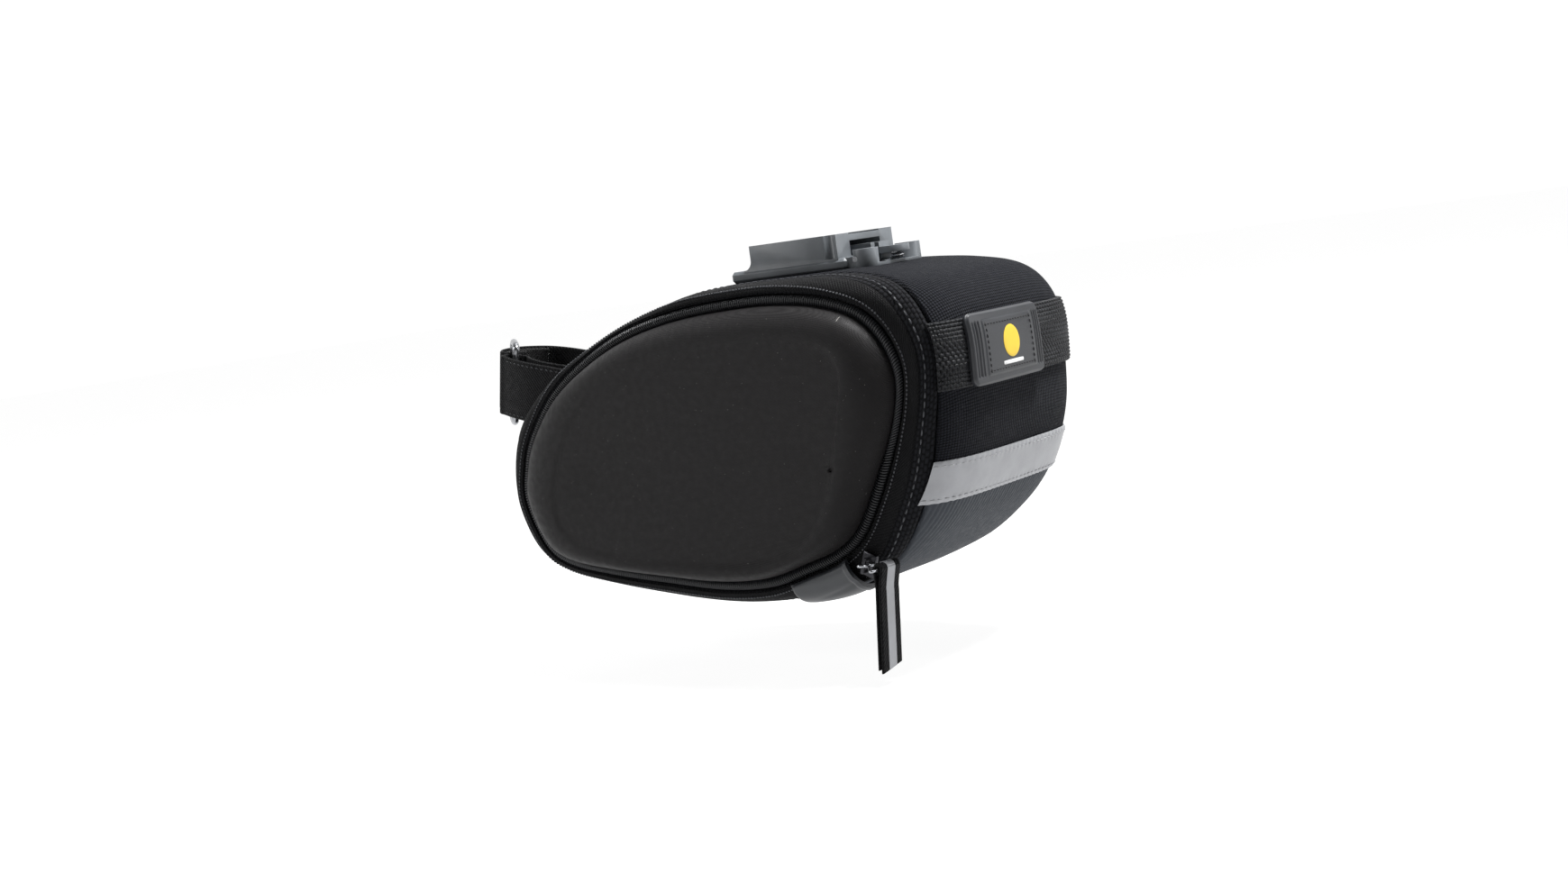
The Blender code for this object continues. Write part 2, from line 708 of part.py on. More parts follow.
def ribbon(name, path, width, thickness, frame, mat, ends=None, slant=0.0):
    """A strip of webbing along a plan path, standing on edge in the given frame.

    ends gives the first and last place of each edge along x; slant leans the strip sideways.
    """
    path = np.array(path, dtype=float)
    steps = np.gradient(path, axis=0)
    steps /= np.linalg.norm(steps, axis=1)[:, None]
    normals = np.column_stack([-steps[:, 1], steps[:, 0]])
    outer, inner = [], []
    for i, (place, normal) in enumerate(zip(path, normals)):
        for rows, offset in ((outer, thickness / 2), (inner, -thickness / 2)):
            spot = place + normal * offset
            row = []
            for z in np.linspace(-width / 2, width / 2, 4 if ends else 2):
                x = max(spot[0], ends(spot[1], z) + SKIM * i) if ends else spot[0]
                row.append(frame @ Vector((x, spot[1], z + slant * spot[0])))
            rows.append(row)
    return shell_mesh(name, outer, inner, mat)


def pull_tab():
    """Webbing folded over the puller's bar and sewn to itself."""
    arch, away, outward = puller_frame()
    frame = Matrix((Vector((0, 0, -1)), away, outward)).transposed().to_4x4()
    frame.translation = arch + away * PULLER_LENGTH + outward * PULLER_RISE
    clear = PULLER_WIRE + TAB_ROOM + TAB_THICKNESS / 2
    inner = TAB_THICKNESS / 2 + GAP / 2
    bend = [(-clear * math.sin(t), clear * math.cos(t)) for t in np.linspace(0, math.pi, 9)]
    path = [(TAB_LENGTH, inner), (TAB_JOIN, inner)] + bend + [(TAB_JOIN, -inner), (TAB_LAP, -inner)]
    width = 2 * (PULLER_HALF_WIDTH - TAB_SIDE_ROOM)
    return ribbon("pull_tab", path, width, TAB_THICKNESS, frame, WEBBING, slant=TAB_SLANT)


def zip_garage():
    """Rubber cap over the zip's lower end: a low dome open towards the slider."""
    outer, inner = [], []
    columns = rows = 6
    for i, angle in enumerate(angles(GARAGE_FRONT_ANGLE, GARAGE_REAR_ANGLE, rows)):
        open_share = i / rows
        low_row, high_row = [], []
        for j in range(columns + 1):
            share = j / columns
            reach = GARAGE_EDGE + (GARAGE_WIDTH - GARAGE_EDGE) * share
            rise = GARAGE_RISE * math.sin(math.pi * share) ** 0.5 * math.sqrt(open_share)
            base = 2 * GAP + OUTER_TAPE_THICKNESS + rise
            low_row.append(on_skin(angle, reach, 1, base))
            high_row.append(on_skin(angle, reach, 1, base + GARAGE_THICKNESS))
        inner.append(low_row)
        outer.append(high_row)
    return shell_mesh("zip_garage", outer, inner, RUBBER)


def build_zip_hardware():
    zip_slider()
    zip_puller()
    pull_tab()
    zip_garage()


# ---------------------------------------------------------------- mount, lever and screws
def screw_places():
    return [(SCREW_MIDDLE + sx * SCREW_X, sy * SCREW_Y) for sx in (-1, 1) for sy in (-1, 1)]


def slide_mount():
    """One moulding: base with two ears, two rails and the deck between them."""
    half, base_half = MOUNT_WIDTH / 2, BASE_WIDTH / 2
    under, ledge = -MOUNT_HEIGHT, -MOUNT_HEIGHT + BASE_THICKNESS
    body = box("slide_mount", (BASE_REAR, -base_half, under), (BASE_FRONT, base_half, ledge), PLASTIC)
    bevel = body.modifiers.new("corners", "BEVEL")
    bevel.width = CORNER_CHAMFER
    bevel.segments = 1
    rails = box("rails", (RAIL_REAR, -half, ledge - OVERLAP), (RAIL_FRONT, half, RAIL_RISE))
    cut(body, rails, "UNION")
    toe = TOE_RADIUS
    cut(body, box("toe", (RAIL_FRONT - OVERLAP, -half, ledge - OVERLAP),
                  (RAIL_FRONT + toe, half, ledge + toe)), "UNION")
    cut(body, cylinder("toe_hollow", toe, (RAIL_FRONT + toe, -half - OVERLAP, ledge + toe),
                       (RAIL_FRONT + toe, half + OVERLAP, ledge + toe), sides=28))
    for side in (-1, 1):
        ear = cylinder("ear", EAR_RADIUS, (EAR_X, side * EAR_Y, under), (EAR_X, side * EAR_Y, EAR_TOP))
        cut(body, ear, "UNION")
        web = box("ear_web", (EAR_X, side * EAR_Y - EAR_WEB / 2, under),
                  (BASE_REAR + OVERLAP, side * EAR_Y + EAR_WEB / 2, ledge))
        cut(body, web, "UNION")
        axis_y = side * (half + SCALLOP_OUT)
        scallop = cylinder("scallop", SCALLOP_RADIUS, (SCALLOP_X, axis_y, ledge + 2 * SKIM),
                           (SCALLOP_X, axis_y, RAIL_RISE + OVERLAP))
        cut(body, scallop)
    shelf = box("shelf", (EAR_X - EAR_RADIUS, -EAR_Y, under),
                (BASE_REAR + OVERLAP, EAR_Y, under + SHELF_THICKNESS))
    cut(body, shelf, "UNION")
    groove = half - RAIL_WIDTH
    cut(body, box("deck_groove", (RAIL_REAR - OVERLAP, -groove, 0.0),
                  (RAIL_FRONT + OVERLAP, groove, RAIL_RISE + OVERLAP)))
    cut(body, box("latch_mouth", (RAIL_REAR - OVERLAP, -groove, SLOT_BOTTOM),
                  (RAIL_REAR + SLOT_DEPTH, groove, SLOT_TOP)))
    room = LEVER_WIDTH / 2 + LEVER_ROOM
    cut(body, box("lever_room", (BASE_REAR - OVERLAP, -room, under + SHELF_THICKNESS),
                  (RAIL_REAR + OVERLAP / 2, room, SLOT_TOP)))
    tongue = TONGUE_WIDTH / 2 + TONGUE_ROOM
    cut(body, box("tongue_room", (BASE_REAR - OVERLAP, -tongue, SLOT_BOTTOM),
                  (RAIL_REAR + OVERLAP / 2, tongue, SLOT_TOP)))
    cut(body, cylinder("pin_hole", PIN_RADIUS + GAP / 2, (PIN_X, -BASE_WIDTH, PIN_Z),
                       (PIN_X, BASE_WIDTH, PIN_Z), sides=16))
    for i, (x, y) in enumerate(screw_places()):
        hole = cylinder(f"blind_hole_{i}", SCREW_RADIUS + GAP, (x, y, under - OVERLAP),
                        (x, y, under + SCREW_BITE + GAP), sides=12)
        cut(body, hole)
    return body


def release_lever():
    """Thumb paddle, hub and notched tongue in one piece, turning on the pin."""
    half, broad = LEVER_WIDTH / 2, TONGUE_WIDTH / 2
    body = cylinder("release_lever", PADDLE_RADIUS, (PADDLE_X, 0, PADDLE_TOP - PADDLE_THICKNESS),
                    (PADDLE_X, 0, PADDLE_TOP), PLASTIC, sides=32)
    hub_radius = PIN_RADIUS + HUB_WALL
    cut(body, cylinder("hub", hub_radius, (PIN_X, -half, PIN_Z), (PIN_X, half, PIN_Z)), "UNION")
    low = TONGUE_TOP - TONGUE_THICKNESS
    neck = box("neck", (PIN_X - NECK_REAR, -half + SKIM, PIN_Z + GAP),
               (PIN_X + hub_radius - 2 * SKIM, half - SKIM, TONGUE_TOP - 2 * SKIM))
    cut(body, neck, "UNION")
    tongue = box("tongue", (PIN_X, -broad, low), (PIN_X + TONGUE_REACH, broad, TONGUE_TOP))
    cut(body, tongue, "UNION")
    notch = box("notch", (PIN_X - OVERLAP, NOTCH / 2, low - OVERLAP),
                (PIN_X + NOTCH, NOTCH * 1.5, TONGUE_TOP + OVERLAP))
    cut(body, notch)
    cut(body, cylinder("pin_bore", PIN_RADIUS + BORE_ROOM, (PIN_X, -PADDLE_RADIUS, PIN_Z),
                       (PIN_X, PADDLE_RADIUS, PIN_Z), sides=16))
    return body


def release_spring():
    low = -MOUNT_HEIGHT + SHELF_THICKNESS + GAP + SPRING_WIRE
    high = PADDLE_TOP - PADDLE_THICKNESS - GAP - SPRING_WIRE
    count = int(SPRING_TURNS * 10)
    points = []
    for i in range(count + 1):
        turn = 2 * math.pi * SPRING_TURNS * i / count
        rise = low + (high - low) * i / count
        points.append((SPRING_X + SPRING_RADIUS * math.cos(turn), SPRING_RADIUS * math.sin(turn), rise))
    return wire("release_spring", points, SPRING_WIRE, STEEL, resolution=1)


def build_mount(top_panel):
    slide_mount()
    release_lever()
    pin_half = EAR_Y + EAR_RADIUS - EAR_RADIUS / 12
    cylinder("release_pin", PIN_RADIUS, (PIN_X, -pin_half, PIN_Z), (PIN_X, pin_half, PIN_Z), STEEL,
             sides=16)
    release_spring()
    plate_top = BAG_TOP - WALL - PLATE_DROP
    plate = box("stiffener_plate",
                (SCREW_MIDDLE - PLATE_LENGTH / 2, -PLATE_WIDTH / 2, plate_top - PLATE_THICKNESS),
                (SCREW_MIDDLE + PLATE_LENGTH / 2, PLATE_WIDTH / 2, plate_top), PLASTIC)
    for i, (x, y) in enumerate(screw_places()):
        passage = cylinder(f"passage_{i}", SCREW_RADIUS + GAP, (x, y, plate_top - MOUNT_HEIGHT),
                           (x, y, BAG_TOP + MOUNT_HEIGHT), sides=12)
        cut(top_panel, passage)
        cut(plate, passage)
        under = plate_top - PLATE_THICKNESS - GAP
        name = f"mount_screw_{i + 1}"
        screw = cylinder(name, SCREW_RADIUS, (x, y, under - SCREW_HEAD / 2),
                         (x, y, -MOUNT_HEIGHT + SCREW_BITE), STEEL, sides=12)
        head = cylinder(f"head_{i}", SCREW_HEAD_RADIUS, (x, y, under - SCREW_HEAD), (x, y, under), sides=16)
        cut(screw, head, "UNION")


# ---------------------------------------------------------------- strap
RIGHT_STRAP = [(-0.040, -0.0160), (-0.024, -0.0172), (-0.012, -0.0205), (0.002, -0.0215),
               (0.0135, -0.0180), (0.0205, -0.0080), (0.0212, 0.0020), (0.0175, 0.0075),
               (0.0130, 0.0056), (0.0112, -0.0010)]
LEFT_STRAP = [(-0.040, 0.0135), (-0.024, 0.0135), (-0.012, 0.0138), (-0.002, 0.0112),
              (0.004, 0.0074), (0.0100, 0.0078), (0.0122, 0.0116), (0.0098, 0.0150)]
STRAP_TAIL = [(-0.022, 0.0206), (-0.008, 0.0200), (0.002, 0.0180), (0.0085, 0.01585)]
RING_BARS = ((0.0162, 0.0020), (0.0068, 0.0110))


def strap_frame():
    frame = Matrix.Rotation(-STRAP_PITCH, 4, "Y")
    x, z = side_view(STRAP_PLACE)
    frame.translation = Vector((x, 0.0, z))
    return frame


def offset_path(path, distance):
    path = np.array(path, dtype=float)
    steps = np.gradient(path, axis=0)
    steps /= np.linalg.norm(steps, axis=1)[:, None]
    return path + np.column_stack([-steps[:, 1], steps[:, 0]]) * distance


def strap_ring():
    """Rectangular wire ring that joins the two ends of the strap."""
    frame = strap_frame()
    (ax, ay), (bx, by) = RING_BARS
    half, corner, nip = RING_HEIGHT / 2, RING_CORNER, RING_NIP
    span = Vector((bx - ax, by - ay, 0))
    bar = Vector((ax, ay, 0))
    shape = [(0, -half + corner), (0, half - corner), (0.08, half - nip), (0.22, half),
             (0.78, half), (0.92, half - nip), (1, half - corner), (1, -half + corner),
             (0.92, -half + nip), (0.78, -half), (0.22, -half), (0.08, -half + nip)]
    points = [frame @ (bar + span * share + Vector((0, 0, z))) for share, z in shape]
    return wire("strap_ring", points, RING_WIRE, STEEL, closed=True)


def nose_place(angle, y):
    """Where the wrap at this angle reaches y across the bag, seen from the side."""
    points, _ = section(angle)
    return [np.interp(abs(y), points[::-1, 1], points[::-1, i]) for i in (0, 2)]


def nose_reach(y, z, clearance):
    """Place along the strap frame's x where an edge at y and z clears the sloping nose."""
    frame = strap_frame()
    near, far = -0.060, 0.030
    for _ in range(24):
        x = (near + far) / 2
        spot = frame @ Vector((x, y, z))
        low, high = 0.0, STEEP
        for _ in range(20):
            angle = (low + high) / 2
            if nose_place(angle, y)[1] < spot.z:
                low = angle
            else:
                high = angle
        here, above = nose_place(angle, y), nose_place(angle + TURN_STEP, y)
        run, rise = above[0] - here[0], above[1] - here[1]
        if (spot.x - here[0]) * abs(rise) / math.hypot(run, rise) > clearance:
            far = x
        else:
            near = x
    return far


def anchor_patch():
    """Reinforced patch on the sloping nose, into which both strap ends are sewn."""
    def nose_angle(share):
        x = side_view((share, 0))[0]
        low, high = 0.0, STEEP
        for _ in range(30):
            angle = (low + high) / 2
            if cross_outline(MIDDLE_LINE, angle)[0] > x:
                low = angle
            else:
                high = angle
        return angle

    outer, inner = [], []
    for angle in angles(nose_angle(ANCHOR_TOP), nose_angle(ANCHOR_BOTTOM), 7):
        middle = half_length(angle)
        half = min(ANCHOR_HALF_WIDTH, middle - TAPE_REACH[-1] - 4 * GAP)
        reach = [middle - half * k / 5 for k in range(6)]
        places = [(r, 1) for r in reversed(reach)] + [(r, -1) for r in reach[1:]]
        inner.append([on_skin(angle, r, s, TRIM_LIFT) for r, s in places])
        outer.append([on_skin(angle, r, s, TRIM_LIFT + ANCHOR_THICKNESS) for r, s in places])
    return shell_mesh("strap_anchor", outer, inner, WEBBING)


def build_strap():
    frame = strap_frame()
    right = smooth_line(RIGHT_STRAP, 4)
    left = smooth_line(LEFT_STRAP, 4)
    tail = smooth_line(STRAP_TAIL, 4)

    @lru_cache(maxsize=None)
    def root(y, z):
        return nose_reach(y, z, STRAP_ROOT_GAP)

    ribbon("strap_right", right, STRAP_WIDTH, STRAP_THICKNESS, frame, WEBBING, root)
    ribbon("strap_left", left, STRAP_WIDTH, STRAP_THICKNESS, frame, WEBBING, root)
    ribbon("strap_tail", tail, STRAP_WIDTH, STRAP_THICKNESS, frame, WEBBING, root)
    pile = offset_path(right[16:26], STRAP_THICKNESS / 2 + GAP + PILE_THICKNESS / 2)
    ribbon("loop_tape", pile, STRAP_WIDTH - TAPE_MARGIN, PILE_THICKNESS, frame, PILE)
    hook = offset_path(tail[5:], -(STRAP_THICKNESS / 2 + GAP + HOOK_THICKNESS / 2))
    ribbon("hook_tape", hook, STRAP_WIDTH - TAPE_MARGIN, HOOK_THICKNESS, frame, PILE, root)
    strap_ring()
    anchor_patch()


top_panel = build_wrap()
build_sides()
build_zip_hardware()
build_mount(top_panel)
build_strap()
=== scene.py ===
"""Looks of a saddle bag: cloth, moulded sides, zip, mount and strap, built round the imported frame."""

import logging
import math
from dataclasses import dataclass, field
from enum import Enum
from typing import Iterable, Optional, Sequence

import bmesh
import bpy
import numpy as np
from mathutils import Matrix, Vector, noise
from mathutils.bvhtree import BVHTree


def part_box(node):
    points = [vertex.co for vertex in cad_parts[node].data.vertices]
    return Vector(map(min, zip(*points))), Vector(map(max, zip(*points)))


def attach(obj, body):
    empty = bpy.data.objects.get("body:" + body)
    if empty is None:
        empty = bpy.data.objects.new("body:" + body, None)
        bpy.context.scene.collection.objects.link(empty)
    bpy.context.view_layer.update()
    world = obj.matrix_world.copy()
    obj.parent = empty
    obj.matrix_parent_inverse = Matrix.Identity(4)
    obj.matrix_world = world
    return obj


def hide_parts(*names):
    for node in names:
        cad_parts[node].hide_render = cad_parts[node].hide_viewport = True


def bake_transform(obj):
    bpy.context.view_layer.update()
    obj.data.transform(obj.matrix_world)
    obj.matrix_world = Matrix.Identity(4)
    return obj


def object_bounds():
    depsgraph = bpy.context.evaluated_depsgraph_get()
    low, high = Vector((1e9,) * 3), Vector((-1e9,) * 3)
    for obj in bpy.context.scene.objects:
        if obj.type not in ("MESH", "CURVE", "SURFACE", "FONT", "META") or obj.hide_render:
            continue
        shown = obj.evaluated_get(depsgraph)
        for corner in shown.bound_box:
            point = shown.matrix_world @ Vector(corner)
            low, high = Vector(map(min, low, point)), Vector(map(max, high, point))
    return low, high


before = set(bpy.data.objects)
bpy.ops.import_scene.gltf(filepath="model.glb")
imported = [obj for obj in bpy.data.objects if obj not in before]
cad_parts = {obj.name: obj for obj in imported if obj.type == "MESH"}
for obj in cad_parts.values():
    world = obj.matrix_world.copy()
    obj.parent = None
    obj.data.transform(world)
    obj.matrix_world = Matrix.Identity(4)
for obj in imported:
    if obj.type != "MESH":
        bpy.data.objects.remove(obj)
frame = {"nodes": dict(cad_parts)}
CAD_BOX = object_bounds()
LOG = logging.getLogger("saddle_bag")
MM = 0.001


class Body(str, Enum):
    """Bodies of the frame that pieces ride on."""

    BAG = "bag"
    DOOR = "door"
    SLIDER = "slider"
    PULLER = "puller"
    TAB = "tab"
    LEVER = "lever"
    STRAP = "strap_loop"
    TAIL = "tail"
    RING = "ring"


class Weave(Enum):
    """How the yarns of a cloth are laid."""

    PLAIN = "plain"
    BASKET = "basket"
    TWILL = "twill"
    KNIT = "knit"


# ---------------------------------------------------------------- finishes
class Shade:
    """A node material and the few helpers that its patterns are made with."""

    def __init__(self, name: str, roughness: float, metallic: float = 0.0) -> None:
        """Starts a material with one Principled shader.

        Args:
            name: the material's name.
            roughness: the shader's roughness where no pattern drives it.
            metallic: 1 for bare metal.
        """
        self.material = bpy.data.materials.new(name)
        self.material.use_nodes = True
        self.tree = self.material.node_tree
        self.shader = self.tree.nodes["Principled BSDF"]
        self.shader.inputs["Roughness"].default_value = roughness
        self.shader.inputs["Metallic"].default_value = metallic

    def add(self, kind: str, **values: object) -> bpy.types.Node:
        """Adds a node and fills its inputs.

        Args:
            kind: the node's type.
            values: input names, with underscores for spaces, to a value or a socket.

        Returns:
            The new node.
        """
        node = self.tree.nodes.new(kind)
        for key, value in values.items():
            self.feed(node.inputs[key.replace("_", " ")], value)
        return node

    def feed(self, socket: bpy.types.NodeSocket, value: object) -> None:
        """Sets a socket to a value, or links another socket to it."""
        if isinstance(value, bpy.types.NodeSocket):
            self.tree.links.new(value, socket)
        else:
            socket.default_value = value

    def math(self, operation: str, first: object, second: object = 0.0) -> bpy.types.NodeSocket:
        """Adds a Math node.

        Args:
            operation: the node's operation.
            first: its first value or socket.
            second: its second value or socket.

        Returns:
            Its output.
        """
        node = self.tree.nodes.new("ShaderNodeMath")
        node.operation = operation
        self.feed(node.inputs[0], first)
        self.feed(node.inputs[1], second)
        return node.outputs[0]

    def millimetres(self, own_map: bool) -> bpy.types.NodeSocket:
        """Coordinates in millimetres, from the piece's own map or from its object."""
        coords = self.tree.nodes.new("ShaderNodeTexCoord")
        scaled = self.add("ShaderNodeVectorMath")
        scaled.operation = "SCALE"
        self.feed(scaled.inputs[0], coords.outputs["UV" if own_map else "Object"])
        scaled.inputs["Scale"].default_value = 1 / MM
        return scaled.outputs[0]

    def noise(self, coords: bpy.types.NodeSocket, scale: float, detail: float = 3.0) -> bpy.types.NodeSocket:
        """Smooth noise, 0 to 1, with scale in features per millimetre."""
        node = self.add("ShaderNodeTexNoise", Vector=coords, Scale=scale, Detail=detail)
        return node.outputs["Fac"]

    def ramp(self, value: bpy.types.NodeSocket, low: float, high: float) -> bpy.types.NodeSocket:
        """Stretches low..high of a value to 0..1, smoothly."""
        node = self.add("ShaderNodeMapRange", Value=value, From_Min=low, From_Max=high)
        node.interpolation_type = "SMOOTHSTEP"
        return node.outputs["Result"]

    def blend(self, factor: bpy.types.NodeSocket, first: object, second: object) -> bpy.types.NodeSocket:
        """Mixes two colours."""
        node = self.tree.nodes.new("ShaderNodeMix")
        node.data_type = "RGBA"
        self.feed(node.inputs[0], factor)
        self.feed(node.inputs[6], first)
        self.feed(node.inputs[7], second)
        return node.outputs[2]

    def relief(self, height: bpy.types.NodeSocket, depth_mm: float, strength: float = 1.0) -> None:
        """Raises the surface by a height of 0 to 1 times depth_mm."""
        bump = self.add("ShaderNodeBump", Height=height, Strength=strength, Distance=depth_mm * MM)
        self.feed(self.shader.inputs["Normal"], bump.outputs[0])


def tone(color: Sequence[float], factor: float) -> tuple[float, float, float, float]:
    """A colour made lighter or darker, with its alpha."""
    return (color[0] * factor, color[1] * factor, color[2] * factor, 1.0)


@dataclass(frozen=True)
class ClothFinish:
    """Woven or knitted cloth on a piece's own map, with painted shade in the gaps between yarns and a painted
    highlight on their crowns.
    """

    name: str
    color: tuple[float, float, float]
    weave: Weave
    pitch_mm: tuple[float, float]
    relief_mm: float = 0.15
    roughness: float = 0.85
    sheen: float = 0.02
    gloss: float = 0.10
    # Painted shade in the yarn gaps and painted highlight on the yarn crowns, as factors on the cloth's colour.
    gap_shade_tone: float = 0.35
    crown_highlight_tone: float = 1.5
    mottle: float = 0.35
    specks: float = 0.0
    own_map: bool = True

    def yarns(self, shade: Shade, coords: bpy.types.NodeSocket) -> bpy.types.NodeSocket:
        """Height of the yarns, 0 in the gaps and 1 on the crowns.

        Args:
            shade: the material being built.
            coords: millimetres over the cloth.

        Returns:
            The height's socket.
        """
        split = shade.add("ShaderNodeSeparateXYZ", Vector=coords)
        along = shade.math("DIVIDE", split.outputs[0], self.pitch_mm[0])
        across = shade.math("DIVIDE", split.outputs[1], self.pitch_mm[1])
        if self.weave is Weave.TWILL:
            slope = shade.math("MULTIPLY", shade.math("ADD", along, across), math.pi)
            diagonal = shade.math("ABSOLUTE", shade.math("SINE", slope))
            pick = shade.math("ABSOLUTE", shade.math("SINE", shade.math("MULTIPLY", across, 2 * math.pi)))
            return shade.math("MULTIPLY", diagonal, shade.math("POWER", pick, 0.4))
        if self.weave in (Weave.BASKET, Weave.KNIT):
            row = shade.math("MODULO", shade.math("FLOOR", across), 2.0)
            along = shade.math("ADD", along, shade.math("MULTIPLY", row, 0.5))
        first = shade.math("ABSOLUTE", shade.math("SINE", shade.math("MULTIPLY", along, math.pi)))
        second = shade.math("ABSOLUTE", shade.math("SINE", shade.math("MULTIPLY", across, math.pi)))
        return shade.math("POWER", shade.math("MULTIPLY", first, second), 0.6)

    def material(self) -> bpy.types.Material:
        """Builds the material."""
        shade = Shade(self.name, self.roughness)
        coords = shade.millimetres(self.own_map)
        warp = shade.noise(coords, 0.35)
        yarns = self.yarns(shade, coords)
        # Painted shade and highlight: the yarn height darkens the gaps and lightens the crowns, over and above
        # the bump.
        color = shade.blend(yarns, tone(self.color, self.gap_shade_tone), tone(self.color, self.crown_highlight_tone))
        cloud = shade.ramp(warp, 0.3, 0.7)
        faded = shade.blend(cloud, tone(self.color, 1 - self.mottle), tone(self.color, 1 + self.mottle))
        color = shade.blend(shade.math("MULTIPLY", cloud, 0.35), color, faded)
        if self.specks:
            cells = shade.add("ShaderNodeTexVoronoi", Vector=coords, Scale=0.9)
            lint = shade.ramp(cells.outputs["Distance"], 0.10, 0.04)
            rare = shade.ramp(shade.noise(coords, 0.9, 0.0), 0.60, 0.72)
            flecks = shade.math("MULTIPLY", shade.math("MULTIPLY", lint, rare), self.specks)
            color = shade.blend(flecks, color, tone((0.35, 0.34, 0.32), 1.0))
        shade.feed(shade.shader.inputs["Base Color"], color)
        worn = shade.math("MULTIPLY_ADD", cloud, 0.12)
        worn.node.inputs[2].default_value = self.roughness - 0.08
        shade.feed(shade.shader.inputs["Roughness"], worn)
        shade.shader.inputs["Specular IOR Level"].default_value = self.gloss
        shade.shader.inputs["Sheen Weight"].default_value = self.sheen
        shade.shader.inputs["Sheen Roughness"].default_value = 0.45
        fuzz = shade.math("MULTIPLY", shade.noise(coords, 4.0), 0.35)
        shade.relief(shade.math("ADD", yarns, fuzz), self.relief_mm)
        return shade.material


@dataclass(frozen=True)
class MouldedFinish:
    """Moulded plastic or rubber with a fine texture and rubbed patches."""

    name: str
    color: tuple[float, float, float]
    roughness: float = 0.5
    grain_mm: float = 0.03
    grain_scale: float = 3.5
    coat: float = 0.0

    def material(self) -> bpy.types.Material:
        """Builds the material."""
        shade = Shade(self.name, self.roughness)
        coords = shade.millimetres(False)
        cloud = shade.ramp(shade.noise(coords, 0.08), 0.3, 0.7)
        grain = shade.noise(coords, self.grain_scale, 4.0)
        shade.feed(shade.shader.inputs["Base Color"],
                   shade.blend(cloud, tone(self.color, 0.88), tone(self.color, 1.12)))
        rough = shade.math("MULTIPLY_ADD", shade.math("ADD", cloud, grain), 0.10)
        rough.node.inputs[2].default_value = self.roughness - 0.10
        shade.feed(shade.shader.inputs["Roughness"], rough)
        shade.shader.inputs["Coat Weight"].default_value = self.coat
        shade.relief(grain, self.grain_mm)
        return shade.material


@dataclass(frozen=True)
class MetalFinish:
    """Plated wire with faint drawing marks and dull patches."""

    name: str
    color: tuple[float, float, float] = (0.62, 0.63, 0.65)
    roughness: float = 0.24

    def material(self) -> bpy.types.Material:
        """Builds the material."""
        shade = Shade(self.name, self.roughness, 1.0)
        coords = shade.millimetres(False)
        haze = shade.ramp(shade.noise(coords, 0.6), 0.35, 0.75)
        shade.feed(shade.shader.inputs["Base Color"],
                   shade.blend(haze, tone(self.color, 0.78), tone(self.color, 1.1)))
        rough = shade.math("MULTIPLY_ADD", haze, 0.14)
        rough.node.inputs[2].default_value = self.roughness
        shade.feed(shade.shader.inputs["Roughness"], rough)
        shade.relief(shade.noise(coords, 6.0, 2.0), 0.012)
        return shade.material


@dataclass(frozen=True)
class ReflectiveFinish:
    """Retro-reflective tape: tiny glass beads on a pale cloth."""

    name: str
    color: tuple[float, float, float] = (0.50, 0.51, 0.525)

    def material(self) -> bpy.types.Material:
        """Builds the material."""
        shade = Shade(self.name, 0.42, 0.15)
        coords = shade.millimetres(True)
        beads = shade.add("ShaderNodeTexVoronoi", Vector=coords, Scale=5.0)
        cloud = shade.ramp(shade.noise(coords, 0.12), 0.3, 0.7)
        shade.feed(shade.shader.inputs["Base Color"],
                   shade.blend(cloud, tone(self.color, 0.93), tone(self.color, 1.05)))
        shade.relief(beads.outputs["Distance"], 0.02)
        return shade.material


# Each cloth's gap and crown tones paint shade into its yarn gaps and highlight onto its yarn crowns.
CORDURA = ClothFinish("coarse_weave", (0.0051, 0.0056, 0.0076), Weave.PLAIN, (1.15, 1.15), 0.45,
                      gap_shade_tone=0.08, crown_highlight_tone=2.8, mottle=0.7)
BAND_CLOTH = ClothFinish("band_weave", (0.0043, 0.0045, 0.0055), Weave.BASKET, (2.1, 1.5), 0.45,
                         gap_shade_tone=0.10, crown_highlight_tone=3.0)
RIBBED = ClothFinish("ribbed_cloth", (0.0320, 0.0368, 0.0448), Weave.PLAIN, (0.5, 0.5), 0.05, 0.55,
                     gloss=0.18, gap_shade_tone=0.8, crown_highlight_tone=1.1, mottle=0.15)
EVA_KNIT = ClothFinish("moulded_knit", (0.0100, 0.0092, 0.0097), Weave.KNIT, (0.55, 0.42), 0.08, 0.52,
                       sheen=0.02, gloss=0.12, gap_shade_tone=0.60, crown_highlight_tone=1.25, mottle=0.16, specks=1.0)
WEBBING = ClothFinish("strap_webbing", (0.0030, 0.0031, 0.0036), Weave.TWILL, (1.6, 1.6), 0.25, 0.60,
                      gloss=0.10, gap_shade_tone=0.35, crown_highlight_tone=1.8, mottle=0.2)
LOOP_WEBBING = ClothFinish("loop_webbing", (0.0060, 0.0064, 0.0077), Weave.BASKET, (2.3, 1.8), 0.40, 0.50,
                           gloss=0.18, gap_shade_tone=0.08, crown_highlight_tone=2.8, mottle=0.2)
TAPE = ClothFinish("zip_tape", (0.0030, 0.0031, 0.0037), Weave.TWILL, (1.3, 1.3), 0.25, 0.65,
                   gap_shade_tone=0.4, crown_highlight_tone=1.8, mottle=0.2)
PILE = ClothFinish("pile_tape", (0.0027, 0.0027, 0.0030), Weave.KNIT, (0.7, 0.6), 0.3, 0.95, sheen=0.3)
THREAD = MouldedFinish("thread", (0.034, 0.036, 0.042), 0.5, 0.02, 6.0)
CORD = MouldedFinish("braid_cord", (0.0091, 0.0098, 0.0119), 0.45, 0.02, 6.0)
DARK_THREAD = MouldedFinish("dark_thread", (0.004, 0.004, 0.005), 0.7, 0.02, 6.0)
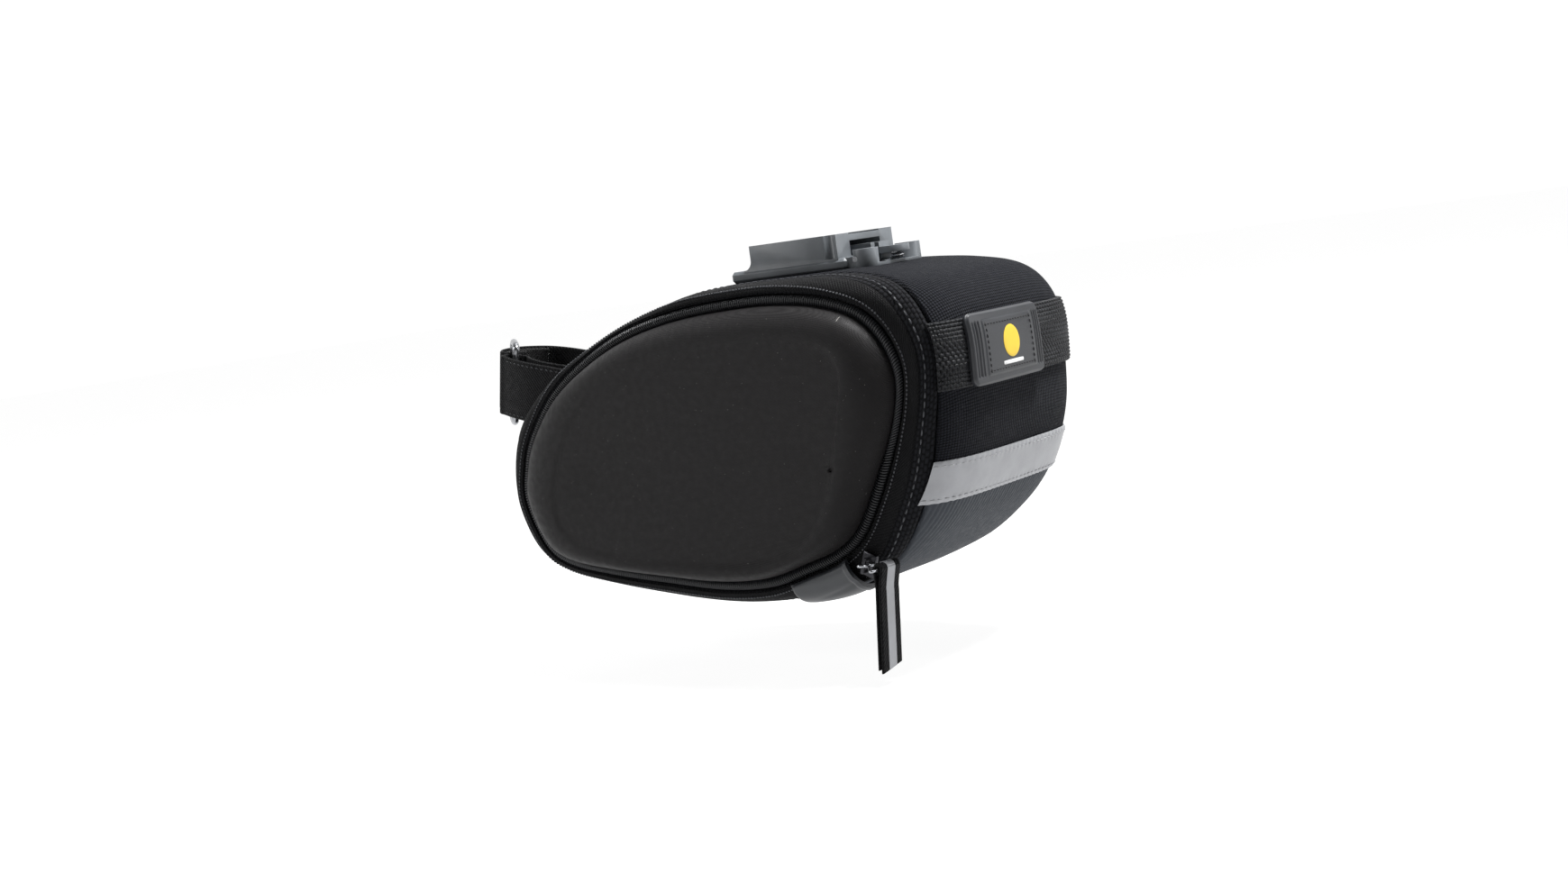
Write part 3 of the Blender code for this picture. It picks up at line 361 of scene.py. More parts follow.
PALE_THREAD = MouldedFinish("pale_thread", (0.30, 0.305, 0.315), 0.6, 0.02, 6.0)
COIL = MouldedFinish("zip_coil", (0.0060, 0.0060, 0.0066), 0.38, 0.01)
RUBBER = MouldedFinish("label_rubber", (0.0208, 0.0224, 0.0264), 0.46, 0.02, 2.0)
GARAGE_RUBBER = MouldedFinish("garage_rubber", (0.0280, 0.0308, 0.0350), 0.40, 0.02, 2.5)
PLASTIC = MouldedFinish("mount_plastic", (0.1320, 0.1440, 0.1560), 0.42, 0.02, 4.0)
AMBER = MouldedFinish("amber_print", (0.62, 0.42, 0.02), 0.45, 0.01)
WHITE = MouldedFinish("white_print", (0.62, 0.62, 0.62), 0.5, 0.01)
NET = MouldedFinish("pocket_net", (0.012, 0.012, 0.013), 0.6, 0.01)
STEEL = MetalFinish("plated_steel", (0.40, 0.41, 0.43))
BLACK_METAL = MetalFinish("black_slider", (0.05, 0.05, 0.055), 0.32)
REFLECTIVE = ReflectiveFinish("reflective_tape", (0.28, 0.285, 0.30))


class Palette:
    """Builds each finish once."""

    def __init__(self) -> None:
        """Starts with nothing built."""
        self.built: dict[str, bpy.types.Material] = {}

    def __call__(self, finish: object) -> bpy.types.Material:
        """Returns the finish's material, and builds it on its first use."""
        if finish.name not in self.built:
            self.built[finish.name] = finish.material()
        return self.built[finish.name]


PALETTE = Palette()


# ---------------------------------------------------------------- meshes
def smooth_line(points: Iterable[Sequence[float]], per_span: int, closed: bool = False) -> np.ndarray:
    """Points on the smooth curve through the given ones.

    Args:
        points: the curve's own points.
        per_span: steps from one point to the next.
        closed: True for a closed curve.

    Returns:
        An array of points.
    """
    pts = np.array(list(points), float)
    count = len(pts)
    ends = (pts[-1:], pts[:2]) if closed else (2 * pts[:1] - pts[1:2], 2 * pts[-1:] - pts[-2:-1])
    padded = np.vstack([ends[0], pts, ends[1]])
    steps = (np.arange(per_span) / per_span)[:, None]
    out = []
    for i in range(count if closed else count - 1):
        a, b, c, d = padded[i:i + 4]
        out.append(0.5 * (2 * b + (c - a) * steps + (2 * a - 5 * b + 4 * c - d) * steps ** 2
                          + (3 * b - a - 3 * c + d) * steps ** 3))
    if not closed:
        out.append(pts[-1:])
    return np.vstack(out)


def spread(lengths: np.ndarray) -> np.ndarray:
    """Running total that starts at 0, along the last axis."""
    start = np.zeros(lengths.shape[:-1] + (1,))
    return np.concatenate([start, np.cumsum(lengths, axis=-1)], axis=-1)


def smoothstep(value: np.ndarray, low: float, high: float) -> np.ndarray:
    """0 below low, 1 above high and smooth between them."""
    share = np.clip((value - low) / (high - low), 0, 1)
    return share * share * (3 - 2 * share)


def grid_faces(index: np.ndarray) -> np.ndarray:
    """Four-sided faces between the neighbouring rows and columns of a grid of point numbers."""
    return np.stack([index[:-1, :-1], index[:-1, 1:], index[1:, 1:], index[1:, :-1]], axis=-1).reshape(-1, 4)


def mesh_object(name: str, verts: np.ndarray, faces: Sequence[Sequence[int]],
                uvs: Optional[np.ndarray] = None, crease_deg: float = 40.0) -> bpy.types.Object:
    """Makes a smooth-shaded object.

    Args:
        name: the object's name.
        verts: its points.
        faces: its faces.
        uvs: one pair for each corner of each face, in metres.
        crease_deg: edges sharper than this stay crisp.

    Returns:
        The new object.
    """
    mesh = bpy.data.meshes.new(name)
    mesh.from_pydata(np.asarray(verts).tolist(), [], faces if isinstance(faces, list) else faces.tolist())
    if uvs is not None:
        layer = mesh.uv_layers.new(name="cloth")
        layer.data.foreach_set("uv", np.asarray(uvs, np.float32).ravel())
    mesh.polygons.foreach_set("use_smooth", [True] * len(mesh.polygons))
    mesh.set_sharp_from_angle(angle=math.radians(crease_deg))
    mesh.update()
    obj = bpy.data.objects.new(name, mesh)
    bpy.context.scene.collection.objects.link(obj)
    return obj


def skin_tube(name: str, loops: np.ndarray, closed: bool = False, crease_deg: float = 40.0) -> bpy.types.Object:
    """A closed solid from a row of matching loops.

    Args:
        name: the object's name.
        loops: rows x points x 3; each loop closes on itself, and point j faces point -1 - j.
        closed: True if the last row joins the first; otherwise both ends are capped.
        crease_deg: edges sharper than this stay crisp.

    Returns:
        The new object, mapped in metres along its rows and round its loops.
    """
    rows, cols = loops.shape[:2]
    index = np.arange(rows * cols).reshape(rows, cols)
    ring = np.concatenate([loops, loops[:, :1]], axis=1)
    around = spread(np.linalg.norm(np.diff(ring, axis=1), axis=2))
    around -= around[:, cols // 4:cols // 4 + 1]
    track = np.concatenate([loops, loops[:1]]) if closed else loops
    along = spread(np.linalg.norm(np.diff(track[:, cols // 4], axis=0), axis=1)[None])[0]
    if closed:
        index = np.vstack([index, index[:1]])
        around = np.vstack([around, around[:1]])
    wide = np.concatenate([index, index[:, :1]], axis=1)
    quads = grid_faces(wide)
    grid_u = np.repeat(along[:, None], cols + 1, axis=1)
    corner = np.stack([grid_u, around], axis=-1)
    uvs = np.stack([corner[:-1, :-1], corner[:-1, 1:], corner[1:, 1:], corner[1:, :-1]], axis=2)
    uvs = uvs.reshape(-1, 4, 2)
    points = loops.reshape(-1, 3)
    if not closed:
        half = cols // 2
        caps, cap_uvs = [], []
        for row, order in ((0, 1), (rows - 1, -1)):
            for j in range(half - 1):
                quad = [index[row, j], index[row, cols - 1 - j], index[row, cols - 2 - j], index[row, j + 1]]
                pair = [corner[row, j], corner[row, j], corner[row, j + 1], corner[row, j + 1]]
                caps.append(quad[::order])
                cap_uvs.append(pair[::order])
        quads = np.concatenate([quads, np.array(caps)])
        uvs = np.concatenate([uvs, np.array(cap_uvs)])
    tri = points[quads] - points.mean(axis=0)
    volume = np.einsum("ij,ij->i", tri[:, 0], np.cross(tri[:, 1], tri[:, 2]))
    volume += np.einsum("ij,ij->i", tri[:, 0], np.cross(tri[:, 2], tri[:, 3]))
    if volume.sum() < 0:
        quads, uvs = quads[:, ::-1], uvs[:, ::-1]
    return mesh_object(name, points, quads, uvs, crease_deg)


def slab(name: str, outer: np.ndarray, inner: np.ndarray, closed: bool = False) -> bpy.types.Object:
    """A wall between two matching grids of points."""
    return skin_tube(name, np.concatenate([outer, inner[:, ::-1]], axis=1), closed)


def copy_of_node(name: str, node: str) -> bpy.types.Object:
    """A merged copy of a CAD node, to be refined and shown in its place."""
    mesh = frame["nodes"][node].data.copy()
    mesh.name = name
    build = bmesh.new()
    build.from_mesh(mesh)
    bmesh.ops.remove_doubles(build, verts=build.verts, dist=0.00001)
    bmesh.ops.dissolve_limit(build, angle_limit=math.radians(1.0), verts=build.verts, edges=build.edges)
    build.to_mesh(mesh)
    build.free()
    obj = bpy.data.objects.new(name, mesh)
    bpy.context.scene.collection.objects.link(obj)
    return obj


def applied(obj: bpy.types.Object) -> bpy.types.Object:
    """Bakes an object's modifiers into its mesh."""
    shape = obj.evaluated_get(bpy.context.evaluated_depsgraph_get())
    mesh = bpy.data.meshes.new_from_object(shape)
    obj.modifiers.clear()
    obj.data = mesh
    return obj


def flat_section(width: float, thickness: float) -> np.ndarray:
    """Cross-section of flat webbing with round edges: places across it and through it.

    Args:
        width: the strip's width.
        thickness: its thickness.

    Returns:
        Points round the section, in which point j faces point -1 - j.
    """
    radius = thickness / 2
    turns = (np.arange(4) + 0.5) / 4 * math.pi / 2
    edge = np.column_stack([width / 2 - radius + radius * np.cos(turns), radius * np.sin(turns)])
    inner = np.linspace(width / 2 - 2 * radius, -width / 2 + 2 * radius, 12)
    upper = np.vstack([edge, np.column_stack([inner, np.full(12, radius)]), edge[::-1] * (-1, 1)])
    return np.vstack([upper, upper[::-1] * (1, -1)])


def round_bar(name: str, path: np.ndarray, radius: float, closed: bool = False,
              sides: int = 12) -> bpy.types.Object:
    """A round wire along a path that lies in one plane.

    Args:
        name: the object's name.
        path: its middle line.
        radius: the wire's radius.
        closed: True for a loop.
        sides: facets round the wire.

    Returns:
        The new object.
    """
    path = np.asarray(path, float)
    steps = np.roll(path, -1, 0) - np.roll(path, 1, 0) if closed else np.gradient(path, axis=0)
    steps /= np.linalg.norm(steps, axis=1)[:, None]
    normals = [np.cross(steps[0], (0.31, 0.52, 0.79))]
    for step in steps:
        turned = normals[-1] - step * np.dot(normals[-1], step)
        normals.append(turned / np.linalg.norm(turned))
    normals = np.array(normals[1:])
    turns = (np.arange(sides) + 0.5) * 2 * math.pi / sides
    loops = path[:, None] + radius * (np.cos(turns)[None, :, None] * normals[:, None]
                                      + np.sin(turns)[None, :, None] * np.cross(steps, normals)[:, None])
    return skin_tube(name, loops, closed)


def chains(paths: Sequence[np.ndarray], closed: bool = False) -> tuple[np.ndarray, list[tuple[int, int]]]:
    """Points and edges of several lines laid into one mesh."""
    edges, start = [], 0
    for path in paths:
        count = len(path)
        edges += [(start + i, start + i + 1) for i in range(count - 1)]
        if closed:
            edges.append((start + count - 1, start))
        start += count
    return np.vstack(paths), edges


def dress(obj: bpy.types.Object, finish: object, slot: str, body: Optional[Body] = None,
          stands_for: Sequence[str] = ()) -> bpy.types.Object:
    """Gives a piece its finish and its body, and hides the CAD nodes it stands for.

    Args:
        obj: the finished piece.
        finish: what it is made of.
        slot: not used.
        body: the body that it rides on, or None to leave it unattached.
        stands_for: CAD nodes that it hides.

    Returns:
        The same piece.
    """
    if not obj.data.materials:
        obj.data.materials.append(PALETTE(finish))
    if body is not None:
        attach(obj, body.value)
    if stands_for:
        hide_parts(*stands_for)
    LOG.info("%s: %d faces", obj.name, len(obj.data.polygons))
    return obj


# ---------------------------------------------------------------- repeated work
class NodeRecipe:
    """A Geometry Nodes tree with named inputs, run once on a source mesh."""

    def __init__(self, name: str, inputs: dict[str, float]) -> None:
        """Starts a tree.

        Args:
            name: the tree's name.
            inputs: its number inputs and their defaults.
        """
        self.group = bpy.data.node_groups.new(name, "GeometryNodeTree")
        face = self.group.interface
        face.new_socket("Geometry", in_out="INPUT", socket_type="NodeSocketGeometry")
        self.keys = {}
        for label, value in inputs.items():
            socket = face.new_socket(label, in_out="INPUT", socket_type="NodeSocketFloat")
            socket.default_value = value
            self.keys[label] = socket.identifier
        socket = face.new_socket("Material", in_out="INPUT", socket_type="NodeSocketMaterial")
        self.keys["Material"] = socket.identifier
        face.new_socket("Geometry", in_out="OUTPUT", socket_type="NodeSocketGeometry")
        self.start = self.group.nodes.new("NodeGroupInput")
        self.end = self.group.nodes.new("NodeGroupOutput")

    def add(self, kind: str, **links: object) -> bpy.types.Node:
        """Adds a node; each keyword names an input and gives its socket or value."""
        node = self.group.nodes.new(kind)
        for key, value in links.items():
            socket = node.inputs[key.replace("_", " ")]
            if isinstance(value, bpy.types.NodeSocket):
                self.group.links.new(value, socket)
            else:
                socket.default_value = value
        return node

    def close(self, geometry: bpy.types.NodeSocket) -> None:
        """Ends the tree with Realize Instances and Set Material."""
        real = self.add("GeometryNodeRealizeInstances", Geometry=geometry)
        painted = self.add("GeometryNodeSetMaterial", Geometry=real.outputs[0],
                           Material=self.start.outputs["Material"])
        self.group.links.new(painted.outputs[0], self.end.inputs[0])

    def run(self, name: str, verts: np.ndarray, edges: Sequence[Sequence[int]],
            finish: object, **values: float) -> bpy.types.Object:
        """Runs the tree on a set of edges.

        Args:
            name: the new piece's name.
            verts: the source's points.
            edges: the source's edges.
            finish: what the piece is made of.
            values: inputs, with underscores for spaces.

        Returns:
            A plain mesh object.
        """
        mesh = bpy.data.meshes.new(name)
        mesh.from_pydata(np.asarray(verts).tolist(), list(edges), [])
        source = bpy.data.objects.new(name + "_source", mesh)
        bpy.context.scene.collection.objects.link(source)
        modifier = source.modifiers.new("recipe", "NODES")
        modifier.node_group = self.group
        for label, value in values.items():
            modifier[self.keys[label.replace("_", " ")]] = value
        modifier[self.keys["Material"]] = PALETTE(finish)
        shape = source.evaluated_get(bpy.context.evaluated_depsgraph_get())
        made = bpy.data.meshes.new_from_object(shape)
        made.name = name
        bpy.data.objects.remove(source)
        made.polygons.foreach_set("use_smooth", [True] * len(made.polygons))
        obj = bpy.data.objects.new(name, made)
        bpy.context.scene.collection.objects.link(obj)
        return obj


def stitch_recipe() -> NodeRecipe:
    """Thread stitches laid end to end along a line, each sized a little differently at random."""
    recipe = NodeRecipe("stitches", {"Pitch": 0.003, "Length": 0.0022, "Thickness": 0.0006, "Seed": 3.0})
    line = recipe.add("GeometryNodeMeshToCurve", Mesh=recipe.start.outputs["Geometry"])
    spots = recipe.add("GeometryNodeCurveToPoints", Curve=line.outputs[0])
    spots.mode = "LENGTH"
    recipe.group.links.new(recipe.start.outputs["Pitch"], spots.inputs["Length"])
    aim = recipe.add("FunctionNodeAlignRotationToVector", Vector=spots.outputs["Tangent"])
    aim.axis = "Z"
    ball = recipe.add("GeometryNodeMeshUVSphere", Segments=6, Rings=4, Radius=0.5)
    size = recipe.add("ShaderNodeCombineXYZ", X=recipe.start.outputs["Thickness"],
                      Y=recipe.start.outputs["Thickness"], Z=recipe.start.outputs["Length"])
    bead = recipe.add("GeometryNodeTransform", Geometry=ball.outputs[0], Scale=size.outputs[0])
    vary = recipe.group.nodes.new("FunctionNodeRandomValue")
    vary.data_type = "FLOAT_VECTOR"
    vary.inputs[0].default_value = (0.9, 0.9, 0.88)
    vary.inputs[1].default_value = (1.1, 1.1, 1.08)
    recipe.group.links.new(recipe.start.outputs["Seed"], vary.inputs["Seed"])
    placed = recipe.add("GeometryNodeInstanceOnPoints", Points=spots.outputs[0], Instance=bead.outputs[0],
                        Rotation=aim.outputs[0], Scale=vary.outputs[0])
    recipe.close(placed.outputs[0])
    return recipe


def rod_recipe() -> NodeRecipe:
    """A round rod along every edge: ribs, teeth, cords and threads."""
    recipe = NodeRecipe("rods", {"Radius": 0.0004})
    line = recipe.add("GeometryNodeMeshToCurve", Mesh=recipe.start.outputs["Geometry"])
    disc = recipe.add("GeometryNodeCurvePrimitiveCircle", Resolution=6, Radius=recipe.start.outputs["Radius"])
    rods = recipe.add("GeometryNodeCurveToMesh", Curve=line.outputs[0], Profile_Curve=disc.outputs[0],
                      Fill_Caps=True)
    recipe.close(rods.outputs[0])
    return recipe


class Workshop:
    """The two recipes, with calls for rows of stitches and sets of rods."""

    def __init__(self) -> None:
        """Builds both trees."""
        self.stitches = stitch_recipe()
        self.rods = rod_recipe()

    def sew(self, name: str, paths: Sequence[np.ndarray], finish: object, pitch_mm: float,
            share: float = 0.72, thickness_mm: float = 0.55, closed: bool = False) -> bpy.types.Object:
        """Sews along lines.

        Args:
            name: the piece's name.
            paths: lines on the cloth's surface.
            finish: the thread.
            pitch_mm: one stitch to the next.
            share: how much of the pitch shows as thread.
            thickness_mm: the thread's thickness.
            closed: True if each line closes on itself.

        Returns:
            One object with every stitch.
        """
        verts, edges = chains(paths, closed)
        return self.stitches.run(name, verts, edges, finish, Pitch=pitch_mm * MM,
                                 Length=pitch_mm * share * MM, Thickness=thickness_mm * MM)

    def bars(self, name: str, paths: Sequence[np.ndarray], finish: object, radius_mm: float,
             closed: bool = False) -> bpy.types.Object:
        """Lays a round rod along every line."""
        verts, edges = chains(paths, closed)
        return self.rods.run(name, verts, edges, finish, Radius=radius_mm * MM)


# ---------------------------------------------------------------- the bag's form
MIDDLE_OUTLINE = [
    (0.996, 0.687), (1.000, 0.563), (0.981, 0.432), (0.940, 0.333), (0.866, 0.234),
    (0.788, 0.171), (0.693, 0.102), (0.598, 0.049), (0.512, 0.012), (0.425, 0.000),
    (0.320, 0.000), (0.210, 0.000), (0.132, 0.014), (0.058, 0.047), (0.019, 0.110),
    (0.002, 0.200), (0.000, 0.333), (0.003, 0.481), (0.022, 0.605), (0.054, 0.720),
    (0.102, 0.815), (0.175, 0.905), (0.274, 0.967), (0.425, 0.998), (0.577, 0.988),
    (0.771, 0.937), (0.892, 0.885), (0.961, 0.811)]
ZIP_OUTLINE = [
    (0.967, 0.646), (0.957, 0.526), (0.929, 0.419), (0.862, 0.283), (0.771, 0.180),
    (0.663, 0.100), (0.533, 0.053), (0.387, 0.038), (0.296, 0.044), (0.218, 0.065),
    (0.149, 0.110), (0.106, 0.185), (0.083, 0.292), (0.091, 0.407), (0.119, 0.539),
    (0.162, 0.687), (0.201, 0.790), (0.248, 0.852), (0.317, 0.897), (0.404, 0.942),
    (0.512, 0.951), (0.641, 0.929), (0.771, 0.901), (0.875, 0.864), (0.931, 0.798)]
FIELD_OUTLINE = [
    (0.851, 0.644), (0.815, 0.465), (0.742, 0.322), (0.653, 0.252), (0.564, 0.217),
    (0.467, 0.196), (0.361, 0.190), (0.266, 0.196), (0.210, 0.214), (0.183, 0.250),
    (0.177, 0.309), (0.193, 0.414), (0.218, 0.574), (0.253, 0.708), (0.298, 0.789),
    (0.360, 0.835), (0.440, 0.853), (0.561, 0.846), (0.702, 0.824), (0.815, 0.767)]


@dataclass
class BagForm:
    """The bag's outer surface, read by angle round the bag and distance from the zip's line."""

    half_width: float = 0.0500
    taper_x: float = -0.0600
    taper: float = math.radians(6.5)
    power: float = 4.0
    spine_share: tuple[float, float] = (0.47, 0.56)
    spine_half: float = 0.25
    steps: int = 720
    cuts: int = 480
    wall: float = 0.0020
    band: float = 0.0165
    gap: float = 0.0003
    shell_inset: float = 0.0039
    edge: np.ndarray = field(init=False)

    def __post_init__(self) -> None:
        """Measures the frame and tabulates the cross-sections."""
        low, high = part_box("rear_top_panel")
        base_low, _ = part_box("base_panel")
        self.back, self.length = low.x, high.x - low.x
        self.top, self.height = high.z, high.z - base_low.z
        self.turns = np.arange(self.steps) * 2 * math.pi / self.steps
        self.spine = np.array([self.spine_point(a) for a in self.turns])
        self.edge = self.cross(ZIP_OUTLINE)
        self.middle = self.cross(MIDDLE_OUTLINE)
        self.field = self.cross(FIELD_OUTLINE)
        quarter = np.linspace(math.pi / 2, 0, 81)
        across = np.sin(quarter) ** (2 / self.power)
        inset = 1 - np.cos(quarter) ** (2 / self.power)
        flat = self.middle[:, None] + inset[None, :, None] * (self.edge - self.middle)[:, None]
        wide = self.side_y(self.edge[:, 0])[:, None] * across[None]
        self.sections = np.stack([flat[..., 0], wide, flat[..., 1]], axis=-1)
        lengths = spread(np.linalg.norm(np.diff(self.sections, axis=1), axis=2))
        self.totals = lengths[:, -1]
        cuts = np.linspace(0, 1, self.cuts + 1)
        self.table = np.array([[np.interp(cuts * run[-1], run, points[:, k]) for k in range(3)]
                               for run, points in zip(lengths, self.sections)]).transpose(0, 2, 1)

    def place(self, share: Sequence[float]) -> np.ndarray:
        """Side-view place of a share of the bag's length and height."""
        return np.array([self.back + share[0] * self.length, self.top - share[1] * self.height])

    def spine_point(self, angle: float) -> np.ndarray:
        """The point that the section at an angle fans out from."""
        return self.place(self.spine_share) + (self.spine_half * self.length * math.cos(angle), 0.0)

    def side_y(self, x: np.ndarray) -> np.ndarray:
        """Half width of the bag at the zip's plane."""
        return self.half_width - (x - self.taper_x) * math.tan(self.taper)

    def cross(self, shares: Sequence[Sequence[float]]) -> np.ndarray:
        """Where the ray at each angle meets an outline."""
        line = smooth_line([self.place(s) for s in shares], 40, closed=True)
        step = np.roll(line, -1, axis=0) - line
        out = np.zeros((self.steps, 2))
        for i, angle in enumerate(self.turns):
            ray = np.array([math.cos(angle), math.sin(angle)])
            start = line - self.spine[i]
            det = ray[0] * -step[:, 1] + step[:, 0] * ray[1]
            reach = (start[:, 0] * -step[:, 1] + step[:, 0] * start[:, 1]) / det
            share = (ray[0] * start[:, 1] - ray[1] * start[:, 0]) / det
            hits = (share >= 0) & (share < 1) & (reach > 0)
            out[i] = self.spine[i] + ray * reach[hits].max()
        return out

    def half_length(self, angles: np.ndarray) -> np.ndarray:
        """Length of the half section at each angle."""
        return np.interp(np.mod(angles, 2 * math.pi), np.append(self.turns, 2 * math.pi),
                         np.append(self.totals, self.totals[0]))

    def skin(self, angles: np.ndarray, reach: np.ndarray, side: int = 1) -> np.ndarray:
        """Points on the wrap.

        Args:
            angles: angles round the bag.
            reach: distances from the zip's line; past the middle they run on to the other side.
            side: 1 for the left, -1 for the right.

        Returns:
            Points, in the shape of angles and reach taken together.
        """
        angles, reach = np.broadcast_arrays(np.asarray(angles, float), np.asarray(reach, float))
        turn = np.mod(angles, 2 * math.pi) / (2 * math.pi) * self.steps
        first = np.floor(turn).astype(int) % self.steps
        share = (turn - np.floor(turn))[..., None]
        total = self.half_length(angles)
        over = reach > total
        cut = np.where(over, 2 * total - reach, reach) / total * self.cuts
        column = np.clip(np.floor(cut).astype(int), 0, self.cuts - 1)
        rest = (cut - column)[..., None]
        rows = [self.table[row, column] * (1 - rest) + self.table[row, column + 1] * rest
                for row in (first, (first + 1) % self.steps)]
        out = rows[0] * (1 - share) + rows[1] * share
        out[..., 1] *= np.where(over, -side, side)
        return out

    def normal(self, angles: np.ndarray, reach: np.ndarray, side: int = 1) -> np.ndarray:
        """Outward directions of the wrap at the same places as skin."""
        turn, slip = math.radians(1.0), 0.0008
        low = np.maximum(reach - slip, 0.0)
        along = self.skin(angles + turn, reach, side) - self.skin(angles - turn, reach, side)
        across = self.skin(angles, reach + slip, side) - self.skin(angles, low, side)
        facing = np.cross(along, across) * side
        facing /= np.linalg.norm(facing, axis=-1, keepdims=True)
        plane = np.array([math.sin(self.taper), side * math.cos(self.taper), 0.0])
        near = np.broadcast_to(1 - smoothstep(reach, 0.0008, 0.0020), facing.shape[:-1])[..., None]
        mixed = facing * (1 - near) + plane * near
        return mixed / np.linalg.norm(mixed, axis=-1, keepdims=True)

    def lifted(self, angles: np.ndarray, reach: np.ndarray, lift: np.ndarray, side: int = 1) -> np.ndarray:
        """Points over the wrap, lifted along its outward direction."""
        base = self.skin(angles, reach, side)
        return base + self.normal(np.asarray(angles, float), np.asarray(reach, float), side) * \
            np.asarray(lift, float)[..., None]

    def in_side(self, angles: np.ndarray, inset: np.ndarray, out: np.ndarray, side: int = 1) -> np.ndarray:
        """Points in a side's leaning plane, inset from the zip's line and lifted outwards."""
        turn = np.mod(angles, 2 * math.pi) / (2 * math.pi) * self.steps
        first = np.floor(turn).astype(int) % self.steps
        share = (turn - np.floor(turn))[..., None]
        after = (first + 1) % self.steps
        edge = self.edge[first] * (1 - share) + self.edge[after] * share
        spine = self.spine[first] * (1 - share) + self.spine[after] * share
        inward = (spine - edge) / np.linalg.norm(spine - edge, axis=-1, keepdims=True)
        flat = edge + inward * np.asarray(inset, float)[..., None]
        wide = side * (self.side_y(flat[..., 0]) + out)
        return np.stack([flat[..., 0], wide, flat[..., 1]], axis=-1)

    def zone(self, angles: np.ndarray, place: float, lift: float, side: int = 1) -> np.ndarray:
        """A line round the bag: place under 0 lies in the side's plane, over 0 on the wrap."""
        if place < 0:
            return self.in_side(angles, np.full(angles.shape, -place), np.full(angles.shape, lift), side)
        return self.lifted(angles, np.full(angles.shape, place), np.full(angles.shape, lift), side)

    def ring(self, count: int) -> np.ndarray:
        """Evenly spread angles all the way round."""
        return np.arange(count) * 2 * math.pi / count

    def sweep(self, name: str, profile: Sequence[Sequence[float]], side: int, count: int = 360,
              crease_deg: float = 50.0) -> bpy.types.Object:
        """Sweeps a closed profile of places and lifts all the way round a side."""
        angles = self.ring(count)
        loops = np.stack([self.zone(angles, place * MM, lift * MM, side) for place, lift in profile], axis=1)
        return skin_tube(name, loops, closed=True, crease_deg=crease_deg)

    def rear_angle(self, reach: np.ndarray, depth: np.ndarray) -> np.ndarray:
        """Angles at which the rear of the wrap lies this far below the bag's top."""
        high = np.full(np.shape(depth), math.radians(118.0))
        low = np.full(np.shape(depth), math.radians(238.0))
        for _ in range(26):
            angle = (high + low) / 2
            above = self.skin(angle, reach, 1)[..., 2] > self.top - depth
            high, low = np.where(above, angle, high), np.where(above, low, angle)
        return (high + low) / 2

    def even(self, place: float, pitch: float, side: int = 1, low: float = 0.0,
             high: float = 2 * math.pi) -> np.ndarray:
        """Angles at even steps along a line round the bag.

        Args:
            place: the line's place, as in zone.
            pitch: length of a step.
            side: 1 for the left, -1 for the right.
            low: angle of the line's start.
            high: angle of its end.

        Returns:
            The angles.
        """
        fine = np.linspace(low, high, 1441)
        line = self.zone(fine, place, 0.0, side)
        lengths = spread(np.linalg.norm(np.diff(line, axis=0), axis=1)[None])[0]
        count = max(2, round(lengths[-1] / pitch))
        return np.interp(np.arange(count) / count * lengths[-1], lengths, fine)

    def rear(self, depth: np.ndarray, across: np.ndarray, lift: np.ndarray) -> np.ndarray:
        """Points over the rear, placed by depth below the top and distance from the middle line."""
        depth, across, lift = np.broadcast_arrays(depth, across, lift)
        reach = self.half_length(np.full(depth.shape, math.pi)) - np.abs(across)
        for _ in range(3):
            angles = self.rear_angle(reach, depth)
            reach = self.half_length(angles) - np.abs(across)
        angles = self.rear_angle(reach, depth)
        run = np.where(across >= 0, reach, 2 * self.half_length(angles) - reach)
        return self.lifted(angles, run, lift)


